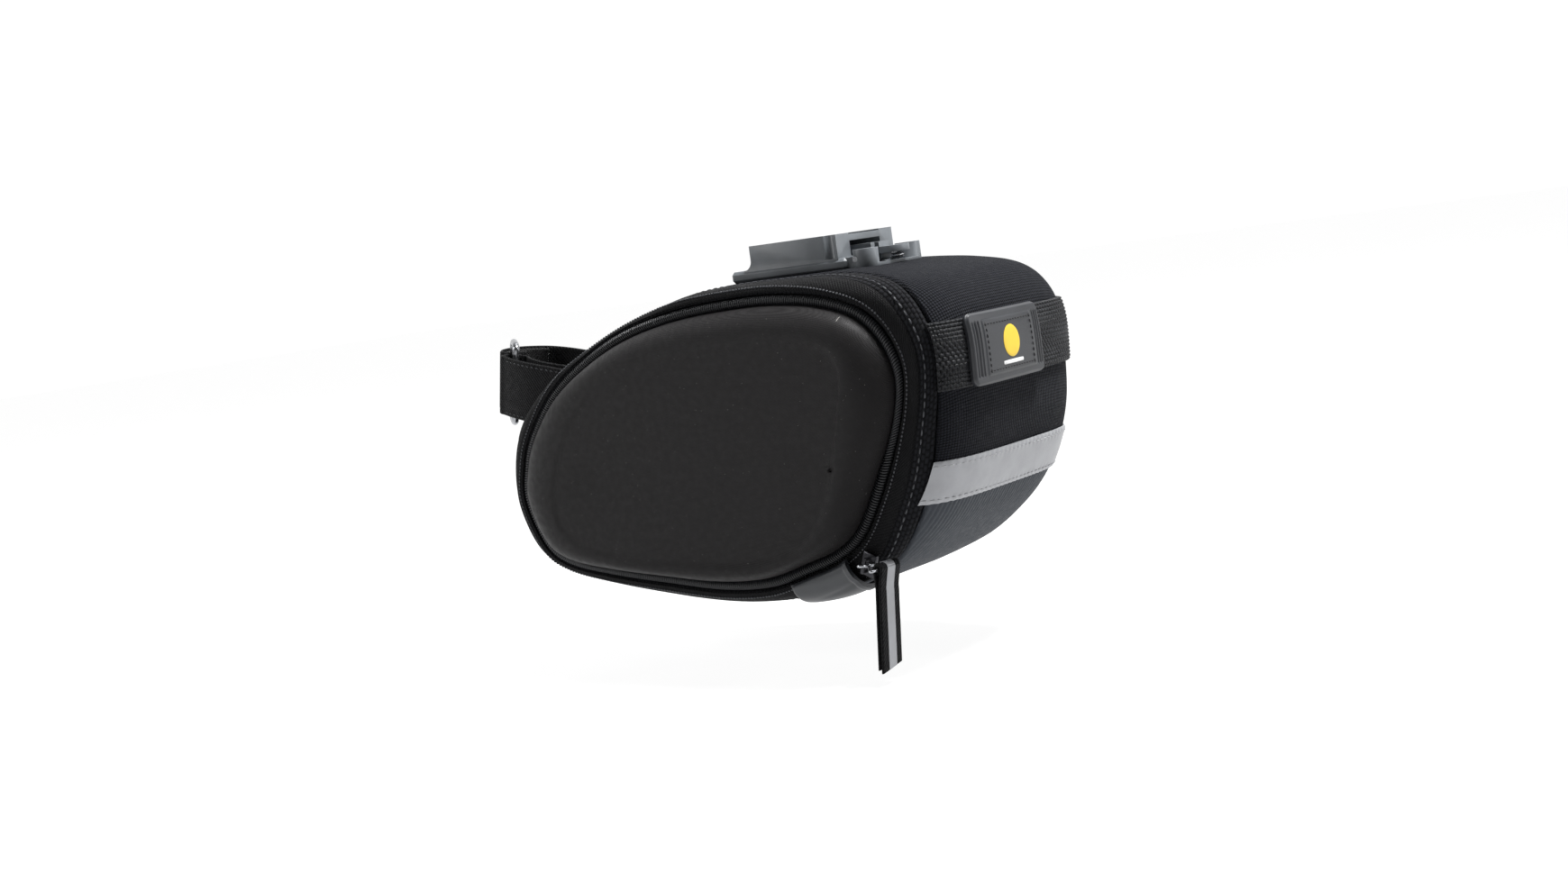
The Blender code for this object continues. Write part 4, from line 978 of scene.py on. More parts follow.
# ---------------------------------------------------------------- wrap: panels and bands
@dataclass
class Wrap:
    """Cloth over the top, rear, base and nose, with the two sewn bands."""

    form: BagForm
    shop: Workshop
    nose_seam: float = math.radians(-14.0)
    rear_seam_depth: float = 0.0775
    rib_pitch: float = 0.0021
    rib_rise: float = 0.00042
    puff_cap: float = 0.0016
    trim_room: float = 0.00035
    lining_mm: float = -2.0
    second_row_mm: float = 11.2

    def puff(self, angles: np.ndarray, share: np.ndarray) -> np.ndarray:
        """How far air and foam press a panel out between its seams.

        A coarse copy of the panel, pinned at its seams and under the mount, is blown out
        by Blender's cloth, and the fine panel reads its heights.

        Args:
            angles: rows of the fine panel.
            share: columns of the fine panel, 0 to 1 from seam to seam.

        Returns:
            Heights in metres, rows x columns.
        """
        turn = np.linspace(angles[0], angles[-1], 44)
        across = np.linspace(0, 1, 25)
        grid, outward = self.grid(turn, across)
        rows, cols = grid.shape[:2]
        index = np.arange(rows * cols).reshape(rows, cols)
        cloth = mesh_object("cloth_form", grid.reshape(-1, 3), grid_faces(index))
        rim = np.zeros((rows, cols), bool)
        rim[[0, -1]] = rim[:, [0, -1]] = True
        low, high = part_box("slide_mount")
        under = (grid[..., 0] > low.x) & (grid[..., 0] < high.x) & (np.abs(grid[..., 1]) < high.y)
        pinned = (rim | (under & (grid[..., 2] > self.form.top - 0.006))).ravel()
        group = cloth.vertex_groups.new(name="sewn")
        group.add(np.nonzero(pinned)[0].tolist(), 1.0, "REPLACE")
        air = cloth.modifiers.new("air", "CLOTH")
        air.settings.quality = 6
        air.settings.mass = 0.25
        air.settings.tension_stiffness = air.settings.compression_stiffness = 40
        air.settings.bending_stiffness = 1.5
        air.settings.use_pressure = True
        air.settings.uniform_pressure_force = 5.0
        air.settings.vertex_group_mass = "sewn"
        air.settings.effector_weights.gravity = 0.0
        air.collision_settings.use_collision = False
        air.point_cache.frame_start, air.point_cache.frame_end = 1, 20
        scene = bpy.context.scene
        for step in range(1, 21):
            scene.frame_set(step)
        shape = cloth.evaluated_get(bpy.context.evaluated_depsgraph_get())
        blown = np.array([v.co[:] for v in shape.data.vertices]).reshape(rows, cols, 3)
        scene.frame_set(1)
        bpy.data.objects.remove(cloth)
        rise = np.clip(((blown - grid) * outward).sum(axis=-1), 0, None)
        LOG.info("cloth rises %.2f mm before its cap", rise.max() / MM)
        rise = self.puff_cap * rise / max(rise.max(), MM)
        down = np.array([np.interp(angles, turn, rise[:, j]) for j in range(cols)]).T
        return np.array([np.interp(share, across, row) for row in down])

    def grid(self, angles: np.ndarray, share: np.ndarray) -> tuple[np.ndarray, np.ndarray]:
        """Places and outward directions of a panel's grid from seam to seam."""
        turn, reach = self.reach(angles, share)
        return self.form.skin(turn, reach), self.form.normal(turn, reach)

    def reach(self, angles: np.ndarray, share: np.ndarray) -> tuple[np.ndarray, np.ndarray]:
        """Angles and distances from the left zip line over a panel's grid."""
        start = self.form.band + self.form.gap
        run = 2 * (self.form.half_length(angles) - start)
        reach = start + run[:, None] * share[None]
        return np.broadcast_to(angles[:, None], reach.shape), reach

    def wrinkles(self, places: np.ndarray, scale: float, seed: float) -> np.ndarray:
        """Soft unevenness over a cloth, -1 to 1.

        Args:
            places: points on the cloth.
            scale: size of a wrinkle in metres.
            seed: where in the noise to start.

        Returns:
            One number for each point.
        """
        flat = places.reshape(-1, 3) / scale + seed
        return np.array([noise.noise(Vector(p)) for p in flat]).reshape(places.shape[:-1])

    def panel(self, name: str, start: float, end: float, rows: int, cols: int, finish: ClothFinish,
              slot: str, ribs: bool) -> bpy.types.Object:
        """One cloth panel from seam to seam.

        Args:
            name: the CAD node that it stands for, and with _cloth its own name.
            start: angle of its first edge.
            end: angle of its last edge.
            rows: rows round the bag.
            cols: columns across the bag.
            finish: its cloth.
            slot: its material slot.
            ribs: True for cloth with woven ribs along the bag.

        Returns:
            The panel.
        """
        angles, share = np.linspace(start, end, rows), np.linspace(0, 1, cols)
        turn, reach = self.reach(angles, share)
        places, outward = self.grid(angles, share)
        edge = np.minimum(reach - self.form.band, 2 * self.form.half_length(turn) - self.form.band - reach)
        hem = np.minimum(edge, np.minimum(angles - start, end - angles)[:, None] * 0.08)
        creases = self.wrinkles(places, 0.021, 3.0) * smoothstep(edge, 0, 0.012)
        lift = self.puff(angles, share) + 0.00022 * creases
        lift += 0.0005 * smoothstep(hem, 0.0003, 0.0018) - 0.0007 * (1 - smoothstep(hem, 0.0, 0.0011))
        rear = smoothstep(-np.cos(turn), 0.55, 0.75)
        lift = lift * (1 - rear) + np.minimum(lift, self.trim_room) * rear
        if ribs:
            middle = reach - self.form.half_length(turn)
            rib = np.abs(np.sin(math.pi * middle / self.rib_pitch)) ** 0.6
            lift += self.rib_rise * (rib - 0.75)
        outer = places + outward * lift[..., None]
        inner = places + outward * self.lining_mm * MM
        cloth = slab(name + "_cloth", outer, inner)
        dress(cloth, finish, slot, Body.BAG, [name])
        return cloth

    def band(self, name: str, side: int, slot: str) -> None:
        """Sewn band beside a side panel, and its row of stitches."""
        low = self.lining_mm
        profile = [(0.35, -0.35), (0.8, 0.02), (2.4, 0.12), (4.5, 0.15), (6.5, 0.3), (8.5, 0.5),
                   (11.0, 0.62), (13.5, 0.62), (15.2, 0.45), (16.0, 0.05), (16.35, -0.6), (16.4, low),
                   (8.5, low), (0.35, low)]
        strip = self.form.sweep(name + "_cloth", profile, side, 420)
        dress(strip, BAND_CLOTH, slot, Body.BAG, [name])
        angles = self.form.even(self.second_row_mm * MM, 0.0011, side)
        line = self.form.zone(angles, self.second_row_mm * MM, 0.00068, side)
        row = self.shop.sew(name + "_stitches", [line], THREAD, 3.4, 0.74, 0.62, closed=True)
        dress(row, THREAD, slot, Body.BAG)

    def build(self) -> None:
        """Builds the two panels, the bands and the seam stitches."""
        form = self.form
        depth = np.array([self.rear_seam_depth])
        seam = float(form.rear_angle(form.half_length(np.array([math.pi])), depth)[0])
        self.top = self.panel("rear_top_panel", self.nose_seam, seam - 0.002, 230, 96, CORDURA,
                              "cordura", False)
        self.panel("base_panel", seam + 0.002, self.nose_seam + 2 * math.pi - 0.004, 90, 290, RIBBED,
                   "ribbed_fabric", True)
        self.band("left_band", 1, "cordura")
        self.band("right_band", -1, "cordura")


# ---------------------------------------------------------------- moulded sides
@dataclass
class MouldedSide:
    """A moulded knit-faced side with its ribbed edge tape, on the left as the door."""

    form: BagForm
    shop: Workshop
    side: int
    body: Body
    shell_node: str
    tape_node: str
    crest: float = 0.0114
    step: float = 0.0013
    rim_margin: float = 0.0030
    wall: float = 0.0024
    rib_pitch: float = 0.00105
    eased_rows: int = 13
    easing: int = 40

    def shell(self) -> None:
        """The moulded panel: a rolled rim and a sunk, nearly flat field."""
        form = self.form
        angles = form.ring(form.steps // 2)
        pick = np.arange(form.steps // 2) * 2
        edge, spine, field_line = form.edge[pick], form.spine[pick], form.field[pick]
        full = np.linalg.norm(spine - edge, axis=1)
        rim = np.linalg.norm(field_line - edge, axis=1)
        for _ in range(6):
            rim = (np.roll(rim, 1) + 2 * rim + np.roll(rim, -1)) / 4
        top = rim - self.rim_margin
        fade = 0.25 + 0.75 * smoothstep(-np.cos(angles), -0.75, 0.25)
        insets, rises = [], []
        for share in 1 - np.cos(np.linspace(0, math.pi / 2, 22)):
            insets.append(form.shell_inset + (top - form.shell_inset) * share)
            rises.append(self.crest * (1 - (1 - share) ** 2.3) ** (1 / 2.0))
        for share in np.linspace(0, 1, 12)[1:]:
            insets.append(top + (rim + 0.0012 - top) * share)
            rises.append(self.crest - self.step * fade * smoothstep(np.array(share), 0.08, 0.95))
        for share in np.linspace(0, 0.97, 16)[1:]:
            insets.append(rim + 0.0012 + (full - rim - 0.0012) * share)
            calm = smoothstep(np.array(share), 0.1, 0.97)
            rises.append(self.crest - self.step * (fade + (1 - fade) * calm) - 0.0004 * calm)
        points = np.array([form.in_side(angles, inset, np.broadcast_to(rise, angles.shape), self.side)
                           for inset, rise in zip(insets, rises)])
        rows, cols = points.shape[:2]
        points[-1] = (points[-1] + points[-1, -np.arange(cols)]) / 2
        index = np.arange(rows * cols).reshape(rows, cols)
        index[-1] = np.minimum(index[-1], index[-1, -np.arange(cols)])
        wide = np.concatenate([index, index[:, :1]], axis=1)
        quads = grid_faces(wide).tolist()
        mesh = bpy.data.meshes.new(self.shell_node + "_skin")
        mesh.from_pydata(points.reshape(-1, 3).tolist(), [], quads)
        work = bmesh.new()
        work.from_mesh(mesh)
        bmesh.ops.delete(work, geom=[v for v in work.verts if not v.link_faces], context="VERTS")
        work.verts.ensure_lookup_table()
        field = work.verts[(rows - self.eased_rows) * cols:]
        for _ in range(self.easing):
            bmesh.ops.smooth_vert(work, verts=field, factor=0.5, use_axis_x=True, use_axis_y=True,
                                  use_axis_z=True)
        bmesh.ops.recalc_face_normals(work, faces=work.faces)
        if sum(f.normal.y for f in work.faces) * self.side < 0:
            bmesh.ops.reverse_faces(work, faces=work.faces)
        layer = work.loops.layers.uv.new("cloth")
        for face in work.faces:
            face.smooth = True
            for loop in face.loops:
                loop[layer].uv = (loop.vert.co.x, loop.vert.co.z + 0.5 * abs(loop.vert.co.y))
        work.to_mesh(mesh)
        work.free()
        shell = bpy.data.objects.new(self.shell_node + "_skin", mesh)
        bpy.context.scene.collection.objects.link(shell)
        wall = shell.modifiers.new("wall", "SOLIDIFY")
        wall.thickness = self.wall
        wall.offset = -1
        applied(shell)
        shell.data.set_sharp_from_angle(angle=math.radians(50))
        dress(shell, EVA_KNIT, "moulded_eva", self.body, [self.shell_node])

    def tape(self) -> None:
        """Rolled tape round the panel's edge, with a rib at every pitch."""
        form, side = self.form, self.side
        inset = form.shell_inset / MM
        edge = -0.25 if self.body is Body.DOOR else 0.30
        deep = 0.0 if self.body is Body.DOOR else 0.35
        profile = [(edge, -0.2), (-0.5, 0.75), (-1.1, 1.3), (-2.0, 1.55), (-2.9, 1.3), (-3.6, 0.75),
                   (-inset, 0.1), (-inset - deep, -0.4), (-inset - deep, -1.6), (edge, -1.6)]
        roll = form.sweep(self.tape_node + "_roll", profile, side, 420, 70)
        dress(roll, TAPE, "zip_tape", self.body, [self.tape_node])
        angles = form.even(-0.002, self.rib_pitch, side)
        lean = 0.0020
        crossing = [(-0.35, 0.35, 0.0), (-0.75, 1.1, 0.25), (-1.4, 1.52, 0.5), (-2.2, 1.62, 0.75),
                    (-3.0, 1.32, 1.0), (-3.7, 0.6, 1.2)]
        arcs = np.stack([form.zone(angles + lean * turn * 2, place * MM, lift * MM, side)
                         for place, lift, turn in crossing], axis=1)
        ribs = self.shop.bars(self.tape_node + "_ribs", list(arcs), CORD, 0.36)
        dress(ribs, CORD, "zip_tape", self.body)

    def build(self) -> None:
        """Builds the panel and its tape."""
        self.shell()
        self.tape()


@dataclass
class ZipLine:
    """Outer zip tape, the two rows of teeth and the cloth hinge of the door."""

    form: BagForm
    shop: Workshop
    front: float = math.radians(281.0)
    rear: float = math.radians(257.0)
    tooth_pitch: float = 0.0013
    tooth_mm: float = 0.34

    def outer_tape(self, name: str, side: int, stands_for: Sequence[str]) -> None:
        """Tape sewn flat over a band, with a fine row of stitches."""
        profile = [(1.0, 0.25), (1.15, 0.85), (1.6, 1.02), (3.0, 1.0), (4.5, 0.98), (6.6, 0.98), (8.2, 0.92),
                   (8.55, 0.7), (8.6, 0.3), (4.5, 0.3)]
        strip = self.form.sweep(name, profile, side, 420)
        dress(strip, TAPE, "zip_tape", Body.BAG, stands_for)
        lines = []
        for place in (2.6,):
            angles = self.form.even(place * MM, 0.0008, side)
            lines.append(self.form.zone(angles, place * MM, 1.08 * MM, side))
        row = self.shop.sew(name + "_stitches", lines, THREAD, 1.55, 0.80, 0.75, closed=True)
        dress(row, THREAD, "zip_tape", Body.BAG)

    def teeth(self, name: str, inset_mm: float, body: Body, node: str) -> None:
        """One side of the zip's teeth, on a cord."""
        low = self.front - 2 * math.pi
        angles = self.form.even(-inset_mm * MM, self.tooth_pitch, 1, low, self.rear)
        depth = -(self.form.wall + 0.0009)
        arch = [(-0.75, 0.0), (-0.5, 0.4), (0.5, 0.4), (0.75, 0.0)]
        arcs = np.stack([self.form.zone(angles, (-inset_mm + place) * MM, depth + lift * MM)
                         for place, lift in arch], axis=1)
        cord = self.form.zone(np.linspace(low, self.rear, 400), -inset_mm * MM, depth)
        teeth = self.shop.bars(name, list(arcs) + [cord], COIL, self.tooth_mm)
        dress(teeth, COIL, "zip_coil", body, [node])

    def hinge(self) -> None:
        """Strip of cloth inside the bag that joins the door to the band."""
        slack = math.radians(1.0)
        angles = np.linspace(self.rear + slack, self.front - slack, 26)
        insets = np.linspace(4.0, -1.0, 14) * MM
        depth = self.form.wall + 0.0006
        rows = [[self.form.in_side(angles, np.full(angles.shape, inset), np.full(angles.shape, -deep), 1)
                 for inset in insets] for deep in (depth, depth + 0.0008)]
        outer, inner = (np.array(grid).transpose(1, 0, 2) for grid in rows)
        strip = slab("door_hinge_cloth", outer, inner)
        dress(strip, TAPE, "zip_tape", None, ["door_hinge"])
        middle = len(angles) // 2
        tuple(outer[middle, -4])
        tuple(outer[middle, 3])
        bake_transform(strip)

    def build(self) -> None:
        """Builds both tapes, the teeth and the hinge."""
        self.outer_tape("outer_zip_tape_cloth", 1, ["outer_zip_tape"])
        self.outer_tape("right_trim_tape", -1, [])
        self.teeth("bag_teeth", 0.6, Body.BAG, "bag_coil")
        self.teeth("door_teeth", 2.7, Body.DOOR, "door_coil")
        self.hinge()


@dataclass
class DoorPocket:
    """Net pocket over the lower half of the door's inside, with an elastic top edge."""

    form: BagForm
    shop: Workshop
    inset: float = 0.0129
    depth: float = 0.0013
    cell: float = 0.0034

    def inside(self, points: np.ndarray, outline: np.ndarray) -> np.ndarray:
        """Which points of the side view lie inside an outline."""
        after = np.roll(outline, -1, axis=0)
        x, z = points[:, :1], points[:, 1:]
        spans = (outline[:, 1] > z) != (after[:, 1] > z)
        slope = (after[:, 0] - outline[:, 0]) / (after[:, 1] - outline[:, 1] + 1e-12)
        return ((spans & (x < outline[:, 0] + (z - outline[:, 1]) * slope)).sum(axis=1) % 2) == 1

    def flat(self, points: np.ndarray, out: float) -> np.ndarray:
        """Side-view points laid behind the left side's plane."""
        return np.column_stack([points[:, 0], self.form.side_y(points[:, 0]) - out, points[:, 1]])

    def build(self) -> None:
        """Builds the net and its binding."""
        form = self.form
        angles = form.ring(240)
        ring = form.in_side(angles, np.full(240, self.inset), np.zeros(240))[:, [0, 2]]
        low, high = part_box("mesh_pocket")
        ring[:, 1] = np.minimum(ring[:, 1], high.z)
        threads = []
        reach = high.x - low.x + high.z - low.z
        for slope in (0.62, -0.62):
            direction = np.array([1.0, slope]) / math.hypot(1, slope)
            normal = np.array([-direction[1], direction[0]])
            centre = np.array([(low.x + high.x) / 2, (low.z + high.z) / 2])
            for k in range(-40, 41):
                line = centre + normal * k * self.cell + np.linspace(-reach, reach, 900)[:, None] * direction
                held = np.nonzero(self.inside(line, ring))[0]
                if len(held) > 3:
                    threads.append(self.flat(line[[held[0], held[-1]]], self.depth))
        net = self.shop.bars("pocket_net", threads, NET, 0.28)
        dress(net, NET, "pocket_mesh", Body.DOOR, ["mesh_pocket"])
        binding = self.shop.bars("pocket_binding", [self.flat(ring, self.depth)], TAPE, 0.75, closed=True)
        dress(binding, TAPE, "pocket_mesh", Body.DOOR)


# ---------------------------------------------------------------- rear trim
@dataclass
class RearTrim:
    """Light loop of coarse webbing, the rubber label on it and the reflective strip."""

    form: BagForm
    shop: Workshop
    lift: float = 0.0006
    loop_top: float = 0.0215
    loop_width: float = 0.0240
    loop_thickness: float = 0.0014
    label_length: float = 0.0480
    label_height: float = 0.0250
    label_thickness: float = 0.0022
    label_corner: float = 0.0030
    groove_pitch: float = 0.0017
    strip_top: float = 0.0700
    strip_width: float = 0.0150
    strip_thickness: float = 0.0008
    label_centre: float = 0.0125
    mark_radius: float = 0.0056

    def run(self) -> float:
        """Length from the rear's middle line to the band's seam."""
        return float(self.form.half_length(np.array([math.pi]))[0]) - self.form.band - self.form.gap

    def loop(self) -> None:
        """Coarse basket-woven webbing from seam to seam."""
        depth = np.linspace(self.loop_top, self.loop_top + self.loop_width, 73)[:, None]
        across = np.linspace(self.run(), -self.run(), 281)[None]
        pick, end = (depth - self.loop_top) / 0.00135, across / 0.0021
        row = np.floor(pick)
        yarn = np.abs(np.sin(math.pi * (end + 0.5 * np.mod(row, 2)))) ** 0.5 * \
            np.abs(np.sin(math.pi * pick)) ** 0.5
        hem = np.minimum(depth - self.loop_top, self.loop_top + self.loop_width - depth) + 0 * across
        thick = self.loop_thickness * (0.55 + 0.45 * smoothstep(hem, 0, 0.0009))
        outer = self.form.rear(depth, across, self.lift + thick + 0.00060 * (yarn - 0.5))
        inner = self.form.rear(depth, across, np.full(hem.shape, self.lift))
        webbing = slab("light_loop_webbing", outer.transpose(1, 0, 2), inner.transpose(1, 0, 2))
        dress(webbing, LOOP_WEBBING, "webbing", Body.BAG, ["light_loop"])

    def label(self) -> None:
        """Rounded rubber label with grooved ends and a raised, sewn middle."""
        base = self.lift + self.loop_thickness + self.form.gap
        top = self.loop_top + (self.loop_width - self.label_height) / 2
        t = np.linspace(-1, 1, 89)
        down = np.sign(t) * (1 - (1 - np.abs(t)) ** 1.25)
        depth_line = down * self.label_height / 2
        over = np.maximum(np.abs(depth_line) - (self.label_height / 2 - self.label_corner), 0)
        round_off = np.sqrt(np.maximum(self.label_corner ** 2 - over ** 2, 0))
        half = self.label_length / 2 - self.label_corner + round_off
        share = np.linspace(1, -1, 169)
        across = half[:, None] * share[None]
        depth = (top + self.label_height / 2 + depth_line)[:, None] + 0 * across
        spot = across + self.label_centre
        rim = np.minimum(half[:, None] - np.abs(across), self.label_height / 2 - np.abs(depth_line)[:, None])
        thick = self.label_thickness * (0.55 + 0.45 * smoothstep(rim, 0, 0.0011))
        inner_x, inner_z = 0.0168, 0.0094
        plate = smoothstep(inner_x - np.abs(across), -0.0004, 0.0004) * \
            smoothstep(inner_z - np.abs(depth_line)[:, None], -0.0004, 0.0004)
        zone = smoothstep(np.abs(across), 0.0182, 0.0188) * smoothstep(0.0224 - np.abs(across), 0, 0.0006) * \
            smoothstep(0.0098 - np.abs(depth_line)[:, None], 0, 0.0008)
        groove = (0.5 + 0.5 * np.cos(2 * math.pi * across / self.groove_pitch)) ** 2
        rise = thick + 0.00040 * plate - 0.00065 * zone * groove
        outer = self.form.rear(depth, spot, base + rise)
        inner = self.form.rear(depth, spot, np.full(depth.shape, base))
        label = slab("rear_label", outer.transpose(1, 0, 2), inner.transpose(1, 0, 2))
        dress(label, RUBBER, "rubber", Body.BAG, ["rear_badge"])
        face = base + self.label_thickness + 0.00050
        middle = top + self.label_height / 2
        ring = np.array([(-1, -1), (1, -1), (1, 1), (-1, 1), (-1, -1)]) * (inner_x - 0.0014, inner_z - 0.0014)
        sides = [np.linspace(a, b, 24) for a, b in zip(ring, ring[1:])]
        lines = [self.form.rear(middle + side[:, 1], side[:, 0] + self.label_centre, np.full(24, face))
                 for side in sides]
        row = self.shop.sew("label_stitches", lines, DARK_THREAD, 1.9, 0.72, 0.55)
        dress(row, DARK_THREAD, "rubber", Body.BAG)
        self.mark(middle, face)

    def mark(self, middle: float, face: float) -> None:
        """A plain disc with a plain bar under it, in place of any name."""
        for name, finish, centre, half_x, half_z, power in (
                ("label_disc", AMBER, middle - 0.0010, self.mark_radius, self.mark_radius, 2.0),
                ("label_bar", WHITE, middle + 0.0062, 0.0070, 0.00070, 8.0)):
            down = np.sin(np.linspace(-math.pi / 2, math.pi / 2, 33)) * half_z * 0.999
            wide = half_x * (1 - np.abs(down / half_z) ** power) ** (1 / power)
            across = wide[:, None] * np.linspace(1, -1, 33)[None]
            depth = centre + down[:, None] + 0 * across
            inside = 1 - np.abs(across / half_x) ** 2 - np.abs((down / half_z))[:, None] ** 2
            rim = smoothstep(inside, 0.0, 0.25)
            spot = across + self.label_centre
            outer = self.form.rear(depth, spot, face + 0.0001 * rim)
            inner = self.form.rear(depth, spot, np.full(depth.shape, face - 0.0003))
            dress(slab(name, outer.transpose(1, 0, 2), inner.transpose(1, 0, 2)), finish, "rubber", Body.BAG)

    def strip(self) -> None:
        """Reflective strip from seam to seam, sewn along both edges."""
        depth = np.linspace(self.strip_top, self.strip_top + self.strip_width, 25)[:, None]
        across = np.linspace(self.run(), -self.run(), 161)[None]
        hem = np.minimum(depth - self.strip_top, self.strip_top + self.strip_width - depth) + 0 * across
        thick = self.strip_thickness * (0.5 + 0.5 * smoothstep(hem, 0, 0.0008))
        pucker = 0.00012 * np.cos(2 * math.pi * across / 0.0031) * smoothstep(0.0035 - hem, 0, 0.002)
        outer = self.form.rear(depth, across, self.lift + thick + pucker)
        inner = self.form.rear(depth, across, np.full(hem.shape, self.lift))
        tape = slab("reflective_tape", outer.transpose(1, 0, 2), inner.transpose(1, 0, 2))
        dress(tape, REFLECTIVE, "reflective", Body.BAG, ["reflective_strip"])
        run = np.linspace(self.run() - 0.001, -self.run() + 0.001, 120)
        rise = np.full(120, self.lift + self.strip_thickness)
        lines = [self.form.rear(np.full(120, place), run, rise)
                 for place in (self.strip_top + 0.0016, self.strip_top + self.strip_width - 0.0016)]
        row = self.shop.sew("strip_stitches", lines, PALE_THREAD, 2.9, 0.76, 0.55)
        dress(row, PALE_THREAD, "reflective", Body.BAG)

    def build(self) -> None:
        """Builds the loop, the label and the strip."""
        self.loop()
        self.label()
        self.strip()


# ---------------------------------------------------------------- zip hardware
@dataclass
class ZipHardware:
    """Slider, wire puller, webbing tab and the rubber garage over the zip's end."""

    form: BagForm
    shop: Workshop
    place: tuple[float, float] = (0.19006, 0.86656)
    slider_top: float = 0.0034
    arch_room: float = 0.0018
    arch_wire: float = 0.0009
    puller_wire: float = 0.0006
    puller_length: float = 0.0130
    puller_half_width: float = 0.0077
    puller_rise: float = 0.0030
    tab_width: float = 0.0110
    tab_length: float = 0.0350
    tab_thickness: float = 0.0012
    tab_slant: float = 0.15
    garage_front: float = math.radians(256.0)
    garage_rear: float = math.radians(237.0)
    garage_width: float = 0.0150
    garage_rise: float = 0.0030
    garage_thickness: float = 0.0012
    garage_lift: float = 0.0013

    def axes(self) -> tuple[np.ndarray, np.ndarray, np.ndarray]:
        """Middle of the slider's arch, the way the puller lies, and outwards."""
        x, z = self.form.place(self.place)
        start = np.array([x, self.form.side_y(x), z])
        outward = np.array([math.sin(self.form.taper), math.cos(self.form.taper), 0.0])
        arch = start + outward * (self.slider_top + self.arch_room + self.arch_wire / 2)
        return arch, np.array([-outward[1], outward[0], 0.0]), outward

    def slider(self) -> None:
        """The slider with soft edges."""
        body = copy_of_node("zip_slider_body", "zip_slider")
        soften(body, 0.00022)
        dress(body, BLACK_METAL, "bright_steel", Body.SLIDER, ["zip_slider"])

    def puller(self) -> None:
        """Wire loop threaded through the arch, widening to the bar that carries the tab."""
        arch, away, outward = self.axes()
        leg = self.arch_wire / 2 + self.puller_wire + 0.0003
        near, far, base, corner = -0.0015, 0.0034, self.puller_length, 0.0010
        low, high = self.puller_rise - self.puller_half_width, self.puller_rise + self.puller_half_width
        shape = [(near, -leg / 2), (near + corner / 2, -leg), (far, -leg), (base - 1.8 * corner, low + 0.0006),
                 (base - corner * 0.5, low + 0.0002), (base, low + corner), (base, 0), (base, high - corner),
                 (base - corner * 0.5, high - 0.0002), (base - 1.8 * corner, high - 0.0006), (far, leg),
                 (near + corner / 2, leg), (near, leg / 2)]
        flat = smooth_line(shape, 8, closed=True)
        path = arch + flat[:, :1] * away + flat[:, 1:] * outward
        wire = round_bar("puller_wire", path, self.puller_wire, closed=True)
        dress(wire, STEEL, "bright_steel", Body.PULLER, ["zip_puller"])

    def tab(self) -> None:
        """Webbing folded over the puller's bar, with a light stripe down its middle."""
        arch, away, outward = self.axes()
        frame_of_tab = Matrix((Vector((0, 0, -1)), Vector(away), Vector(outward))).transposed().to_4x4()
        frame_of_tab.translation = Vector(arch + away * self.puller_length + outward * self.puller_rise)
        clear = self.puller_wire + 0.0005 + self.tab_thickness / 2
        inner = self.tab_thickness / 2 + 0.00015
        bend = [(-clear * math.sin(t), clear * math.cos(t)) for t in np.linspace(0, math.pi, 13)]
        front = [(self.tab_length * s, inner) for s in (1, 0.8, 0.6, 0.4, 0.25)]
        back = [(self.tab_length * s, -inner) for s in (0.25, 0.4, 0.6, 0.8, 0.97)]
        path = smooth_line(front + [(0.0060, inner)] + bend + [(0.0060, -inner)] + back, 4)
        strip = Ribbon(frame_of_tab, self.tab_width, self.tab_thickness, self.tab_slant)
        dress(strip.build("tab_webbing", path, cut_slant=0.22), WEBBING, "webbing", Body.TAB, ["pull_tab"])
        stripe = Ribbon(frame_of_tab, self.tab_width * 0.40, 0.0003, self.tab_slant)
        outside = offset_path(path, -self.tab_thickness / 2)
        dress(stripe.build("tab_stripe", outside, cut_slant=0.22), REFLECTIVE, "reflective", Body.TAB)

    def garage(self) -> None:
        """Rubber hood over the zip's end: a low dome with a thick lip towards the slider."""
        angles = np.linspace(self.garage_front, self.garage_rear, 60)
        share = np.linspace(0, 1, 49)
        open_share = np.linspace(0, 1, 60)[:, None]
        reach = 0.0012 + (self.garage_width - 0.0012) * share
        dome = np.sin(math.pi * share[None]) ** 0.55 * np.sqrt(open_share) * self.garage_rise
        crease = 0.00045 * np.exp(-((share[None] - 0.45) / 0.05) ** 2) * smoothstep(open_share, 0.1, 0.7)
        lip = 0.0007 * smoothstep(open_share, 0.90, 0.94)
        edge = np.minimum(np.minimum(share, 1 - share)[None] * self.garage_width, open_share * 0.028)
        thick = self.garage_thickness * (0.5 + 0.5 * smoothstep(edge, 0, 0.0012)) + lip
        base = self.garage_lift + dome
        turn = np.broadcast_to(angles[:, None], dome.shape)
        run = np.broadcast_to(reach[None], dome.shape)
        outer = self.form.lifted(turn, run, base + thick - crease)
        inner = self.form.lifted(turn, run, base)
        hood = slab("garage_hood", outer, inner)
        dress(hood, GARAGE_RUBBER, "rubber", Body.BAG, ["zip_garage"])

    def build(self) -> None:
        """Builds all four."""
        self.slider()
        self.puller()
        self.tab()
        self.garage()


def soften(obj: bpy.types.Object, width: float) -> None:
    """Rounds a hard part's edges a little and shades it smooth."""
    bevel = obj.modifiers.new("edges", "BEVEL")
    bevel.width = width
    bevel.segments = 2
    bevel.limit_method = "ANGLE"
    bevel.angle_limit = math.radians(32)
    bevel.harden_normals = False
    applied(obj)
    obj.data.materials.clear()
    obj.data.polygons.foreach_set("use_smooth", [True] * len(obj.data.polygons))
    obj.data.set_sharp_from_angle(angle=math.radians(38))


